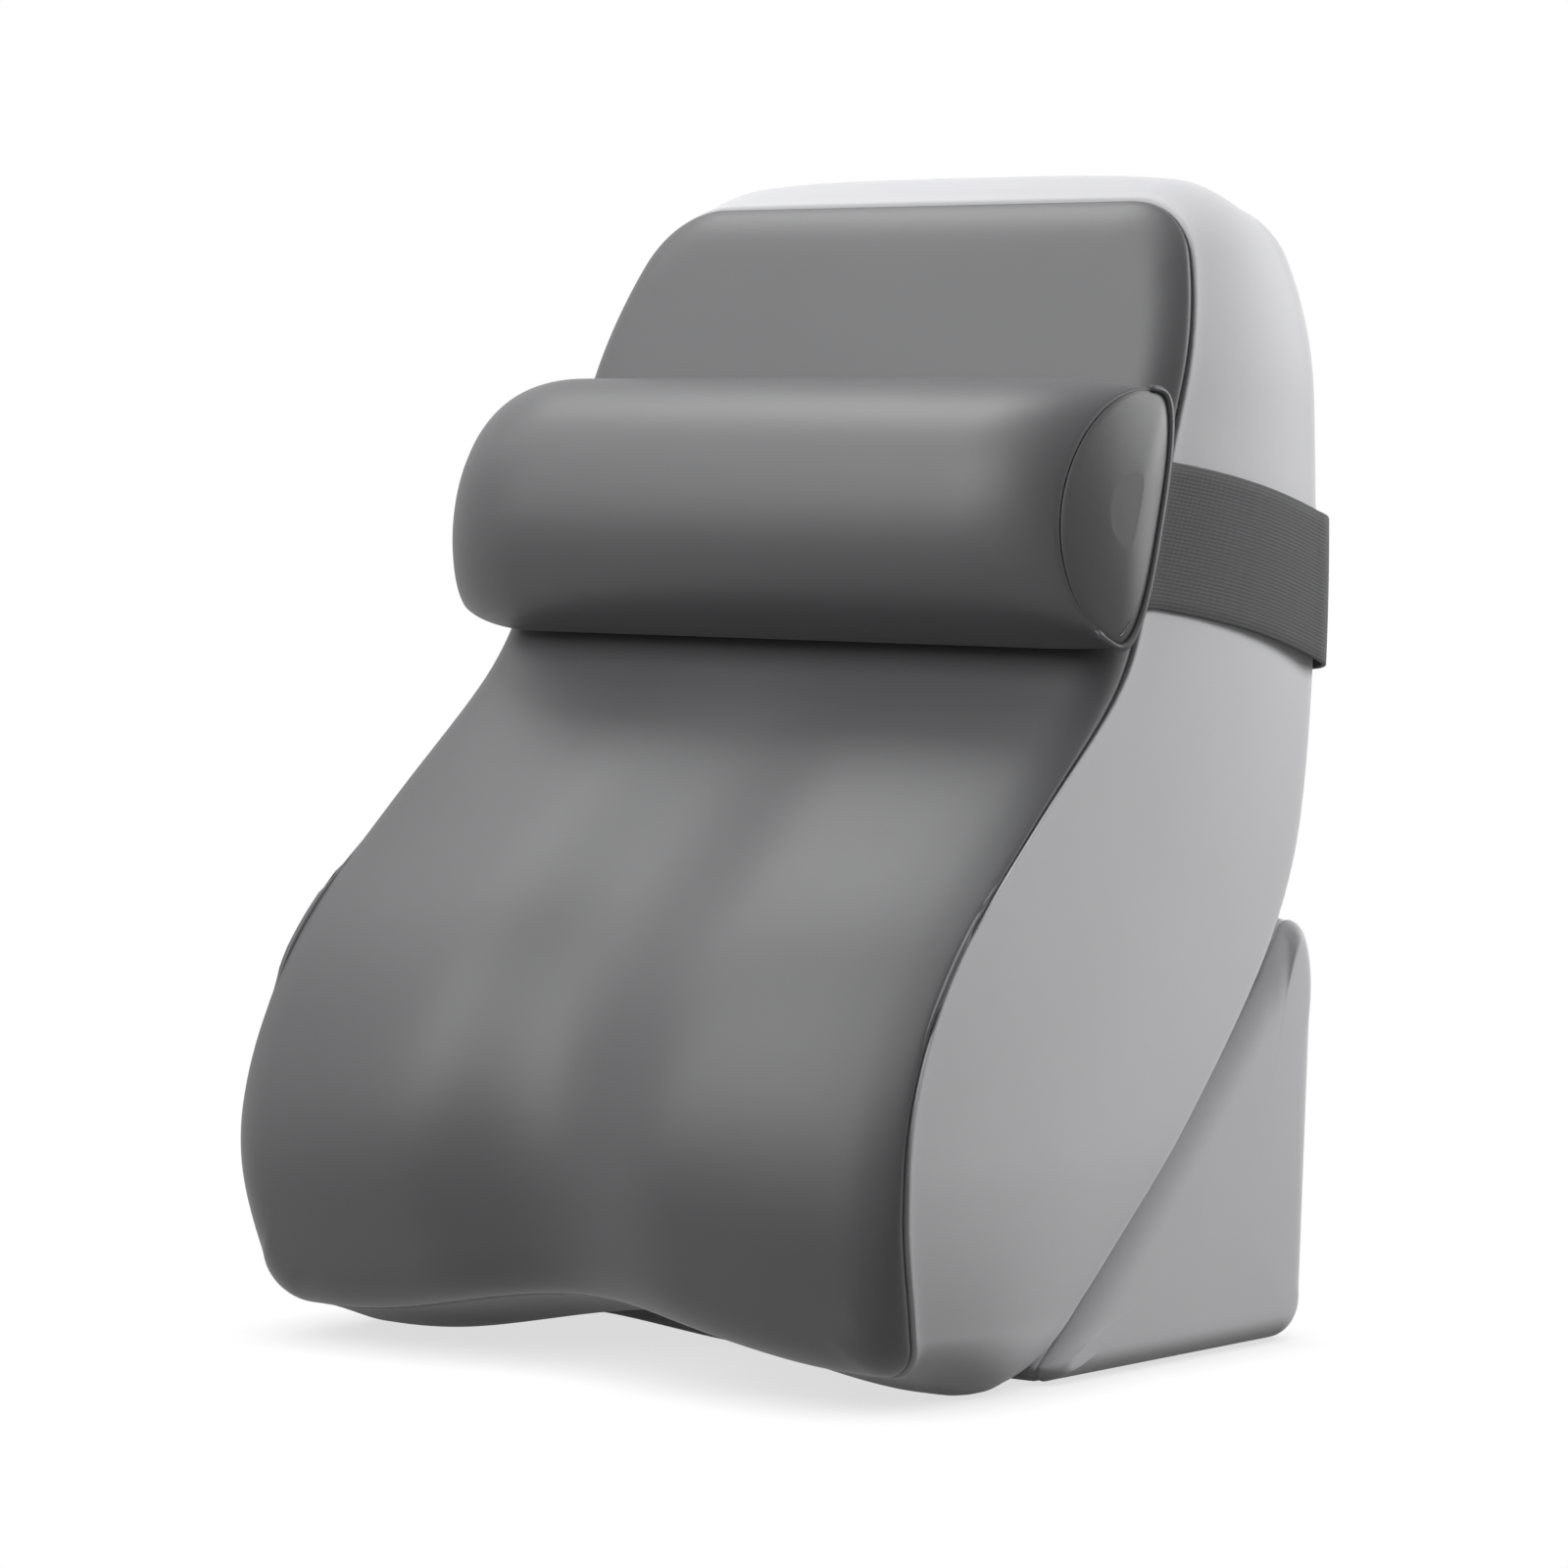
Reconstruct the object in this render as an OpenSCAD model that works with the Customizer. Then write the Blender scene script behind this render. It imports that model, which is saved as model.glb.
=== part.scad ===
// Back-support cushion with a strapped neck roll and a removable wedge.
// The backrest, the roll and the wedge are each a foam core in a sewn, zipped cover.
// Millimetres. +Z is up, the user leans on the -Y side, X = 0 is the middle of the cushion.
// The origin is on the floor, under the middle of the overall depth.

/* [Backrest] */
// Width over the side seams, at the hips
back_w = 450; // [430:5:470]
// Depth of the front panel's rounded edge, at the lumbar bulge
edge_depth = 25; // [18:1:28]
// Width of that rounded edge, seen from the front
edge_width = 26; // [18:1:30]
// Depth of the spine valley at its deepest
valley_depth = 30; // [20:1:32]
// Half width of the spine valley
valley_half = 96; // [90:2:120]
// How far each lobe beside the valley falls off to the side, before its edge
lobe_fall = 4; // [0:1:6]
// How far the side gusset swells out
side_swell = 2; // [0:0.5:4]
// How far the gusset swells up over the top seam
top_swell = 15; // [8:1:18]

/* [Neck roll] */
// Length between the two end seams
roll_len = 406; // [381:5:411]
// Height of the roll along its flat back
roll_h = 146; // [130:2:150]
// Depth of its round front, from the middle plane
roll_front = 64; // [52:1:68]
// Depth of its flat back, from the middle plane
roll_back = 16; // [12:1:18]
// Height of the middle of the roll above the floor
roll_z = 438; // [434:1:450]

/* [Strap] */
// Thickness of the elastic
strap_t = 2.4; // [1.2:0.2:2.8]
// Width of the elastic
strap_w = 78; // [60:1:84]

/* [Wedge] */
// Width over the sides
wedge_w = 436; // [400:2:444]
// Height of the top edge
wedge_h = 224; // [210:1:232]
// Radius of the side edges
wedge_edge = 15; // [8:1:18]

/* [Covers] */
// Thickness of the knitted cover
cover_t = 0.8; // [0.6:0.1:1]
// Room between cover and foam
ease_gap = 0.2; // [0.1:0.1:0.3]

/* [Zips] */
// Distance between two teeth of one row
tooth_pitch = 4; // [4:0.2:5]
// Length of the zip across the backrest
back_zip_len = 352; // [240:16:360]
// Length of the zip across the wedge
wedge_zip_len = 320; // [240:16:336]

/* [Hidden] */

// Colours
dark_knit = [0.33, 0.33, 0.34];
light_knit = [0.72, 0.72, 0.73];
foam_white = [0.93, 0.92, 0.86];
elastic_grey = [0.27, 0.27, 0.28];
nylon_grey = [0.45, 0.45, 0.46];
metal_grey = [0.62, 0.62, 0.64];

// Depth of the model's middle behind the foremost point of the side seams
depth_mid = 181.85;

// ---------- Numbers and curves ----------

function lerp(a, b, t) = a + (b - a) * t;
function limit(t, low = 0, high = 1) = min(max(t, low), high);
function ease(t) = let (c = limit(t)) c * c * (3 - 2 * c);
function unit(v) = v / max(norm(v), 0.000001);
function last(list) = list[len(list) - 1];
function slice(list, from, to) = [for (i = [from : 1 : to]) list[i]];
function reversed(list) = [for (i = [len(list) - 1 : -1 : 0]) list[i]];

// Smooth curve through knots [at, value]
function knot_slope(k, i) =
    let (a = max(i - 1, 0), b = min(i + 1, len(k) - 1))
    (k[b][1] - k[a][1]) / (k[b][0] - k[a][0]);
function span_of(k, at, i = 0) =
    i >= len(k) - 2 || at < k[i + 1][0] ? i : span_of(k, at, i + 1);
function curve(k, at) =
    let (i = span_of(k, at), h = k[i + 1][0] - k[i][0], t = (at - k[i][0]) / h)
    k[i][1] * (1 + 2 * t) * (1 - t) * (1 - t) + k[i + 1][1] * t * t * (3 - 2 * t)
    + h * t * (1 - t) * (knot_slope(k, i) * (1 - t) - knot_slope(k, i + 1) * t);

// ---------- Profiles of the backrest, by height ----------

// Front face on the middle line, before the spine valley is pressed in
front_knots = [[0, 3], [40, -12], [100, -25], [160, -14], [220, 21.5], [280, 84],
    [340, 152.8], [362, 172], [385, 185.3], [620, 288.7]];
// Back face
back_knots = [[0, 112], [18, 136], [53, 174], [126, 249], [175, 296], [215, 328.5],
    [260, 353], [320, 369], [400, 380.5], [480, 385.5], [540, 386.5], [620, 386]];
// Share of edge_depth that the rounded front edge keeps
edge_knots = [[0, 1], [250, 1], [440, 0.76], [620, 0.57]];
// Share of valley_depth and of the lobes' roundness
valley_knots = [[0, 0.4], [40, 0.62], [110, 0.93], [165, 1], [225, 0.8], [290, 0.38], [345, 0.08],
    [375, 0], [620, 0]];

hip_z = 115;        // height of the widest place
taper = 0.0545;     // narrowing per side above it
tuck = 0.0011;      // rounding-in below it
lobe_crest = 100;   // how far the lobes' crests are from the middle
lobe_edge = 195;    // where lobe_fall is reached
lobe_round = 19;    // how much wider the rounded edge is along a lobe
lobe_full = 0.23;   // and how much fuller, 0 for an ellipse
foot_r = 24;        // bottom corners of the front panel
foot_z = 17;        // bottom seam at the two lobes
arch_h = 21;        // how much higher that seam is in the middle
arch_half = 180;    // half width of the arch
shoulder_z = 500;   // start of the top corners: a wide arc, then a tight one
shoulder_wide_r = 198;
shoulder_tight_r = 53;
shoulder_from = atan(taper);
shoulder_turn = 25; // where one arc takes over from the other

function front_y(z) = curve(front_knots, z);
function back_y(z) = curve(back_knots, z);
function half_w(z) = back_w / 2 - (z > hip_z ? taper * (z - hip_z) : tuck * pow(hip_z - z, 2));
function wave(x, half) = abs(x) < half ? pow(cos(90 * x / half), 2) : 0;
function lobe_share(z) = curve(valley_knots, z);
function valley(x, z) = valley_depth * lobe_share(z) * wave(x, valley_half);
function fall(x, z) =
    lobe_fall * lobe_share(z) * pow(max(abs(x) - lobe_crest, 0) / (lobe_edge - lobe_crest), 2);
function edge_at(z) = edge_depth * curve(edge_knots, z);
function back_r(z) = lerp(12, 22, ease(z / 80));

// ---------- Seam outline of the front panel, as [x, z] round the loop ----------

side_start = foot_z + foot_r;
foot_x = half_w(side_start) - foot_r;
function arc(r, from, a) = r * [cos(a) - cos(from), sin(a) - sin(from)];
shoulder_a = [half_w(shoulder_z), shoulder_z];
shoulder_b = shoulder_a + arc(shoulder_wide_r, shoulder_from, shoulder_turn);
shoulder_c = shoulder_b + arc(shoulder_tight_r, shoulder_turn, 90);
half_outline = concat(
    [for (i = [0 : 6]) let (x = foot_x * i / 7) [x, foot_z + arch_h * wave(x, arch_half)]],
    [for (a = [-90 : 30 : -30]) [foot_x + foot_r * cos(a), side_start + foot_r * sin(a)]],
    [for (i = [0 : 9]) let (z = lerp(side_start, shoulder_z, pow(i / 10, 1.2))) [half_w(z), z]],
    [for (i = [0 : 2]) shoulder_a
        + arc(shoulder_wide_r, shoulder_from, lerp(shoulder_from, shoulder_turn, i / 3))],
    [for (i = [0 : 3]) shoulder_b
        + arc(shoulder_tight_r, shoulder_turn, lerp(shoulder_turn, 90, i / 4))],
    [for (i = [0 : 3]) [shoulder_c[0] * (1 - i / 3), shoulder_c[1]]]);
outline = concat(half_outline,
    [for (i = [len(half_outline) - 2 : -1 : 1]) [-half_outline[i][0], half_outline[i][1]]]);

// Outward direction of a closed flat loop at point i
function loop_normal(loop, i) =
    let (n = len(loop), d = loop[(i + 1) % n] - loop[(i + n - 1) % n]) unit([d[1], -d[0]]);
// Point i moved inwards by d, along its ray to the centre c, so that rays never cross
function inset_point(loop, i, c, d) =
    let (r = loop[i] - c) c + r * (1 - d / (r * loop_normal(loop, i)));

// ---------- The backrest's skin, from the middle of the front to the middle of the back ----------

front_c = [0, 300];
front_steps = [0.16, 0.3, 0.44, 0.6, 0.8]; // inner rings, as shares of the flat field
front_angles = [90, 68, 48, 30, 14, 0];    // across the rounded front edge, to the seam
gusset_steps = [0.12, 0.25, 0.4, 0.55, 0.7, 0.85, 1];
back_angles = [30, 60, 90];                // across the rounded back edge; the seam is at 60
back_steps = [0.75, 0.5, 0.25, 0.1];

function front_point(i, angle, share = 1) =
    let (lobe = lobe_share(outline[i][1]), full = 1 - lobe_full * lobe,
        width = edge_width + lobe_round * lobe, rise = pow(sin(angle), full),
        p = inset_point(outline, i, front_c, width * (1 - pow(cos(angle), full))),
        q = front_c + (p - front_c) * share,
        y = front_y(q[1]) + edge_at(q[1]) * (1 - rise) + valley(q[0], q[1]) + fall(q[0], q[1]) * rise)
    [q[0], y, q[1]];

// The gusset ends where the rounded back edge starts; underneath, it drops to the floor on the way
foot_drop = 15;     // how much lower the rear edge is underneath
foot_swell = 6;     // how far the gusset swells down at the two lobes
arch_swell = 4;     // and in the middle of the arch
function foot_share(i) = max(-loop_normal(outline, i)[1], 0);
function head_share(i) =
    pow(max(loop_normal(outline, i)[1], 0), 2) * (1 - pow(min(abs(outline[i][0]) / 172, 1), 5));
function rear_outline_point(i) =
    outline[i] - [0, foot_share(i) * (foot_drop + 2 * wave(outline[i][0], arch_half))];
rear_outline = [for (i = [0 : len(outline) - 1]) rear_outline_point(i)];
function swell(i) =
    let (down = lerp(foot_swell, arch_swell, wave(outline[i][0], arch_half)))
    side_swell + (top_swell - side_swell) * head_share(i) + (down - side_swell) * foot_share(i);
// Underneath, the lowest place is nearer the back
function swell_shape(i, t) = sin(180 * pow(t, 1 + 0.8 * foot_share(i)));
function gusset_point(i, t) =
    let (a = front_point(i, 0), e = rear_outline[i],
        b = [e[0], back_y(e[1]) - back_r(e[1]), e[1]],
        n = loop_normal(outline, i), p = lerp(a, b, t) + [n[0], 0, n[1]] * swell(i) * swell_shape(i, t))
    [p[0], p[1], max(p[2], 0)];

function back_point(i, angle, share = 1) =
    let (r = back_r(rear_outline[i][1]),
        p = inset_point(rear_outline, i, front_c, r * (1 - cos(angle))),
        q = front_c + (p - front_c) * share)
    [q[0], back_y(q[1]) - r * (1 - sin(angle)), q[1]];

round_outline = [0 : len(outline) - 1];
back_rings = concat(
    [for (s = front_steps) [for (i = round_outline) front_point(i, 90, s)]],
    [for (a = front_angles) [for (i = round_outline) front_point(i, a)]],
    [for (t = gusset_steps) [for (i = round_outline) gusset_point(i, t)]],
    [for (a = back_angles) [for (i = round_outline) back_point(i, a)]],
    [for (s = back_steps) [for (i = round_outline) back_point(i, 90, s)]]);
front_seam = len(front_steps) + len(front_angles) - 1;
back_seam = front_seam + len(gusset_steps) + 2;
front_pole = [0, front_y(front_c[1]) + valley(0, front_c[1]), front_c[1]];
back_pole = [0, back_y(front_c[1]), front_c[1]];
back_skin = [front_pole, back_rings, back_pole];

// ---------- Skins: [first pole, rings, last pole], and the solids made from them ----------

function ring_or_pole(skin, r, i) =
    r < 0 ? skin[0] : r >= len(skin[1]) ? skin[2] : skin[1][r][i];
function skin_normal(skin, r, i) =
    let (n = len(skin[1][0]),
        along = ring_or_pole(skin, r + 1, i) - ring_or_pole(skin, r - 1, i),
        round = skin[1][r][(i + 1) % n] - skin[1][r][(i + n - 1) % n])
    unit(cross(along, round));
function pole_normal(ring, way) =
    let (n = len(ring), q = floor(n / 4), h = floor(n / 2))
    way * unit(cross(ring[q] - ring[q + h], ring[0] - ring[h]));
// The same skin, d further in
function inner_skin(skin, d) = [
    skin[0] - d * pole_normal(skin[1][0], -1),
    [for (r = [0 : len(skin[1]) - 1])
        [for (i = [0 : len(skin[1][0]) - 1]) skin[1][r][i] - d * skin_normal(skin, r, i)]],
    skin[2] - d * pole_normal(last(skin[1]), 1)];

// A closed solid through rings; without poles, the last ring joins the first. The strips listed in
// inner are split along their other diagonal, so that a lining follows the core that it covers.
module ring_solid(rings, first = undef, end = undef, inner = []) {
    n = len(rings[0]);
    m = len(rings);
    poles = is_undef(first) ? [] : [first, end];
    strips = is_undef(first) ? m : m - 1;
    lining = [for (r = [0 : strips - 1]) len(search(r, inner)) > 0];
    faces = concat(
        [for (r = [0 : strips - 1], i = [0 : n - 1], half = [0, 1])
            let (j = (i + 1) % n, a = r * n, b = ((r + 1) % m) * n)
            lining[r] ? (half == 0 ? [a + i, a + j, b + i] : [a + j, b + j, b + i])
            : (half == 0 ? [a + i, b + j, b + i] : [a + i, a + j, b + j])],
        is_undef(first) ? [] : [for (i = [0 : n - 1]) [m * n, (i + 1) % n, i]],
        is_undef(first) ? [] :
            [for (i = [0 : n - 1]) [m * n + 1, (m - 1) * n + i, (m - 1) * n + (i + 1) % n]]);
    polyhedron([for (ring = rings) each ring, each poles], faces);
}
module core(skin) {
    inside = inner_skin(skin, cover_t + ease_gap);
    ring_solid(inside[1], inside[0], inside[2]);
}
// The panel from the first pole out to ring k
module first_panel(skin, k) {
    inside = inner_skin(skin, cover_t);
    ring_solid(concat(slice(skin[1], 0, k), reversed(slice(inside[1], 0, k))), skin[0], inside[0],
        [for (r = [k + 1 : 2 * k]) r]);
}
// The band between rings a and b
module band_panel(skin, a, b) {
    inside = inner_skin(skin, cover_t);
    ring_solid(concat(slice(skin[1], a, b), reversed(slice(inside[1], a, b))),
        inner = [for (r = [b - a + 1 : 2 * (b - a)]) r]);
}
// The panel from ring k in to the last pole
module last_panel(skin, k) {
    inside = inner_skin(skin, cover_t);
    m = len(skin[1]) - 1;
    ring_solid(concat(reversed(slice(inside[1], k, m)), slice(skin[1], k, m)), inside[2], skin[2],
        [for (r = [0 : m - k - 1]) r]);
}

// ---------- Neck roll ----------

front_slope = (front_y(600) - front_y(400)) / 200;    // the neck zone is straight above the hollow
lean = atan(front_slope);
roll_gap = 1.6;                                       // between the roll's back and the backrest
roll_c = [front_y(roll_z) - (roll_back + roll_gap) / cos(lean), roll_z];
roll_mid_q = 14;                                      // depth of the end caps' middle
roll_cap = 8;                                         // how far an end cap domes out
roll_points = 30;
roll_angles = [0, 25, 47, 66];                        // across the rounded end, to the seam
roll_end_w = 56;                                      // length of that rounding
roll_slant = 25;                                      // how much longer each end is along its back
roll_droop = 9;                                       // more so below, and less above

// Across the roll: p runs up along its flat back, q forwards out of its round front
function roll_place(x, p, q) =
    [x, roll_c[0] + p * sin(lean) - q * cos(lean), roll_c[1] + p * cos(lean) + q * sin(lean)];
// Half an ellipse in front and a squarer half behind: power 0.5 is nearly flat, 1 is round
function roll_section(a, up, front, back, power) =
    cos(a) >= 0 ? [up * sin(a), front * cos(a)]
    : [up * sign(sin(a)) * pow(abs(sin(a)), power), -back * pow(-cos(a), power)];
function slant_at(p, q) =
    (roll_slant - roll_droop * 2 * p / roll_h) * (roll_front - q) / (roll_front + roll_back);
function roll_ring(way, x, shrink, share = 1) =
    [for (i = [0 : roll_points - 1])
        let (s = roll_section(360 * i / roll_points, roll_h / 2 - 12 * shrink,
                roll_front - 31 * shrink, roll_back - 3 * shrink, 0.6 + 0.4 * shrink),
            p = s[0] * share, q = lerp(roll_mid_q, s[1], share))
        roll_place(way * (x + slant_at(p, q)), p, q)];
function roll_end_rings(way) = concat(
    [for (a = roll_angles) roll_ring(way,
        roll_len / 2 - roll_end_w * (1 - sin(a) / sin(last(roll_angles))), 1 - cos(a))],
    [for (s = [0.85, 0.5]) roll_ring(way, roll_len / 2 + roll_cap * (1 - s * s),
        1 - cos(last(roll_angles)), s)]);
roll_rings = concat(reversed(roll_end_rings(-1)), roll_end_rings(1));
function roll_pole(way) =
    roll_place(way * (roll_len / 2 + roll_cap + slant_at(0, roll_mid_q)), 0, roll_mid_q);
roll_skin = [roll_pole(-1), roll_rings, roll_pole(1)];
roll_seam_left = 2;
roll_seam_right = len(roll_rings) - 3;

// ---------- Strap ----------

strap_gap = 0.8;       // between the strap and the backrest, where it starts
strap_stand = 3.2;     // and at the back, which it bridges
strap_x = 211;         // where it is sewn to the roll's flat back
strap_from = 218;      // depth where it reaches the side of the backrest
strap_rows = 4;
// Height of the strap's middle at a depth y: it dips towards the back
function strap_mid_z(y) = 426 - 0.155 * (y - 238) - 0.00056 * pow(max(y - 238, 0), 2);
// Side of the backrest at depth y and height z
function side_x(y, z) =
    let (a = front_y(z) + edge_at(z), b = back_y(z) - back_r(z), t = limit((y - a) / (b - a)))
    half_w(z) + side_swell * sin(180 * t);
function strap_z(row, y) = strap_mid_z(y) + strap_w * (row / (strap_rows - 1) - 0.5);
function strap_start(row, out) =
    let (y = front_y(roll_z), z = strap_z(row, y))
    [strap_x + out, front_y(z) - (roll_gap + 0.5) / cos(lean), z];
function strap_side(row, out) =
    [for (k = [0 : 6])
        let (z = strap_z(row, lerp(strap_from, back_y(400) - back_r(400), k / 6)),
            y = lerp(strap_from, back_y(z) - back_r(z), k / 6))
        [side_x(y, z) + lerp(strap_gap, strap_stand, k / 6) + out, y, z]];
function strap_corner(row, out) =
    [for (a = [18 : 18 : 90])
        let (z = strap_z(row, back_y(400) - back_r(400) * (1 - sin(a))), r = back_r(z),
            d = strap_stand + out)
        [half_w(z) - r + (r + d) * cos(a), back_y(z) - r + (r + d) * sin(a), z]];
function strap_back(row, out) =
    [for (s = [0.66, 0.33])
        let (z = strap_z(row, back_y(400)))
        [s * (half_w(z) - back_r(z)), back_y(z) + strap_stand + out, z]];
function strap_half(row, out) =
    concat([strap_start(row, out)], strap_side(row, out), strap_corner(row, out),
        strap_back(row, out));
function mirrored(list) = [for (p = list) [-p[0], p[1], p[2]]];
function strap_line(row, out) =
    let (half = strap_half(row, out)) concat(half, mirrored(reversed(half)));

// ---------- Wedge ----------

wedge_gap = 5.1;        // in depth, between the backrest's back and the wedge's front
tip_r = 6;
heel_r = 22;
crest_w = 15;           // half depth and height of the rounded top
crest_h = 26;
rear_lean = 3.2;        // the back face leans back by this angle
rear_y = 351;           // depth of that face at heel_r
crest_z = wedge_h - crest_h;
function rear_face_y(z) = rear_y + (z - heel_r) * tan(rear_lean);
function wedge_front_y(z) = back_y(z) + wedge_gap;
tip_low = tip_r + tip_r * sin(50);
tip_y = wedge_front_y(tip_low) + tip_r * cos(50);
crest_y = rear_face_y(crest_z) - crest_w;
wedge_section = concat(
    [for (a = [130 : 35 : 270]) [tip_y + tip_r * cos(a), tip_r + tip_r * sin(a)]],
    [for (y = [190, 260]) [y, 0]],
    [for (a = [270 : 30 : 360]) [rear_y - heel_r + heel_r * cos(a), heel_r + heel_r * sin(a)]],
    [for (z = [80, 145]) [rear_face_y(z), z]],
    [for (a = [0 : 30 : 150]) [crest_y + crest_w * cos(a), crest_z + crest_h * sin(a)]],
    [for (z = [190 : -24 : 46]) [wedge_front_y(z), z]]);
wedge_c = [292, 72];
wedge_angles = [0, 30, 60, 90];
function wedge_ring(x, d, share = 1) =
    [for (i = [0 : len(wedge_section) - 1])
        let (p = wedge_c + (inset_point(wedge_section, i, wedge_c, d) - wedge_c) * share)
        [x, p[0], p[1]]];
function wedge_end_rings(way) = concat(
    [for (a = wedge_angles)
        wedge_ring(way * (wedge_w / 2 - wedge_edge * (1 - sin(a))), wedge_edge * (1 - cos(a)))],
    [wedge_ring(way * wedge_w / 2, wedge_edge, 0.5)]);
wedge_skin = [[wedge_w / 2, wedge_c[0], wedge_c[1]],
    concat(reversed(wedge_end_rings(1)), wedge_end_rings(-1)),
    [-wedge_w / 2, wedge_c[0], wedge_c[1]]];
wedge_seam_right = 4;
wedge_seam_left = 5;

// ---------- Hook-and-loop strips ----------

strip_x = 115;         // middle of each strip
strip_w = 40;
strip_low = 70;
strip_high = 190;
strip_t = 2;           // in depth

module grip_strips(off) {
    rows = [for (i = [0 : 8]) lerp(strip_low, strip_high, i / 8)];
    for (side = [-1, 1])
        translate([side * strip_x - strip_w / 2, 0, 0])
            rotate([90, 0, 90])
                linear_extrude(strip_w)
                    polygon(concat([for (z = rows) [back_y(z) + off, z]],
                        [for (z = reversed(rows)) [back_y(z) + off + strip_t, z]]));
}

// ---------- Zips: X along the zip, Y out of the cover with 0 at mid chain, Z across ----------

chain_t = 2.4;         // thickness of the teeth
bead_out = 3.2;        // outer edge of the bead that carries a row of teeth
bead_in = 2;
tape_w = 13;           // half width over the tapes
tape_t = 0.6;
tape_start = bead_out + 0.02; // inner edge of a tape, against the bead
slot_half = 6.2;       // half width of the slot in the cover
wing_in = 1.4;         // a slider's wings, from mid chain
wing_out = 2.6;
slider_l = 13;
hinge_x = -0.5;        // hinge bar of the pull, from the slider's middle
hinge_y = 3.6;
stop_l = 2.5;          // end stops

// Middle of the chain lies this deep under the cover
chain_depth = 1.9;

// One row of teeth on its bead: each tooth is a neck with a wider head
function tooth(x) = [[x - 0.7, bead_in], [x - 0.7, 0.4], [x - 0.95, -0.3], [x - 0.6, -1.3],
    [x + 0.6, -1.3], [x + 0.95, -0.3], [x + 0.7, 0.4], [x + 0.7, bead_in]];
module tooth_row(from, to) {
    count = floor((to - from) / tooth_pitch);
    linear_extrude(chain_t, center = true)
        polygon(concat([[from, bead_in]],
            [for (k = [0 : count - 1]) each tooth(from + (k + 0.35) * tooth_pitch)],
            [[to, bead_in], [to, bead_out], [from, bead_out]]));
}
module zip_chain(length) {
    from = -length / 2 + stop_l;
    to = length / 2 - slider_l;
    rotate([-90, 0, 0]) {
        tooth_row(from, to);
        translate([tooth_pitch / 2, 0, 0]) mirror([0, 1, 0]) tooth_row(from, to - tooth_pitch / 2);
    }
    // The bottom stop joins both rows, and a top stop sits on each tape
    translate([from - stop_l, -chain_t / 2, -bead_out]) cube([stop_l, chain_t, 2 * bead_out]);
    for (side = [-1, 1])
        translate([length / 2 - stop_l, -chain_t / 2, side * 2.5 - 0.7])
            cube([stop_l, chain_t, 1.4]);
}
module zip_tapes(length) {
    for (side = [-1, 1])
        translate([-length / 2 - 6, -tape_t / 2, side > 0 ? tape_start : -tape_w])
            cube([length + 12, tape_t, tape_w - tape_start]);
}
// Room for the whole zip in the foam, and the slot in the cover
module zip_bed(length) {
    translate([-length / 2 - 8, -chain_depth - 3.2, -tape_w - 1])
        cube([length + 16, 8, 2 * tape_w + 2]);
}
module zip_slot(length) {
    translate([-length / 2 - 1, -chain_depth - 3, -slot_half])
        cube([length + 2, 8, 2 * slot_half]);
}

wing_outline = [[-6.2, -3.4], [-5.6, -4], [-1, -4.2], [1, -5.2], [5, -5.4], [6.2, -4.4],
    [6.2, 4.4], [5, 5.4], [1, 5.2], [-1, 4.2], [-5.6, 4], [-6.2, 3.4]];
module wing_slab(low, high) {
    translate([0, high, 0]) rotate([90, 0, 0]) linear_extrude(high - low) children();
}
module zip_slider() {
    diamond = [[-0.8, 0], [1.6, 1.5], [5.4, 1.2], [5.4, -1.2], [1.6, -1.5]];
    rail = [[-6.2, 3.5], [-1, 3.5], [1, 4.5], [5.4, 4.6], [5.4, 5.3], [1, 5.2], [-1, 4.2],
        [-6.2, 4.1]];
    wing_slab(wing_in, wing_out) polygon(wing_outline);
    wing_slab(-wing_out, -wing_in) polygon(wing_outline);
    wing_slab(-wing_in, wing_in) polygon(diamond);
    for (low = [0.5, -wing_in], side = [0, 1])
        wing_slab(low, low + wing_in - 0.5) mirror([0, side, 0]) polygon(rail);
    // Bridge over the hinge bar
    translate([0, 0, -1.1])
        linear_extrude(2.2)
            polygon([[-4.9, wing_out], [-4.5, 4.9], [-3.6, 5.7], [2.6, 5.7], [3.5, 4.9],
                [3.9, wing_out], [2.6, wing_out], [2.4, 4.4], [2, 4.7], [-3, 4.7], [-3.4, 4.4],
                [-3.6, wing_out]]);
}
module zip_pull() {
    grip_end = -29;
    translate([hinge_x, hinge_y, 0]) {
        cylinder(r = 0.75, h = 5.6, center = true, $fn = 24);
        difference() {
            translate([0, 0.7, 0])
                rotate([90, 0, 0])
                    linear_extrude(1.4)
                        difference() {
                            union() {
                                polygon([[0.7, -2.8], [0.7, 2.8], [-8, 3], [-14, 2.4],
                                    [grip_end + 4, 4.2], [grip_end + 4, -4.2], [-14, -2.4],
                                    [-8, -3]]);
                                translate([grip_end + 4, 0]) circle(r = 4.2, $fn = 32);
                            }
                            translate([-6.4, -1.4]) square([8, 2.8]);
                            translate([grip_end + 4, 0]) circle(r = 1.8, $fn = 24);
                        }
        }
    }
}

module at_back_zip() {
    z = 300;
    slope = (back_y(z + 5) - back_y(z - 5)) / 10;
    translate([0, back_y(z), z]) rotate([-atan(slope), 0, 0]) children();
}
module at_wedge_zip() {
    z = 62;
    translate([0, rear_face_y(z), z]) rotate([-rear_lean, 0, 0]) children();
}
module sunk() translate([0, -chain_depth, 0]) children();
module at_closed_end(length) translate([length / 2 - stop_l - slider_l / 2, 0, 0]) children();

// ---------- Sub-parts ----------

module in_frame() translate([0, -depth_mid, 0]) children();

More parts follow.
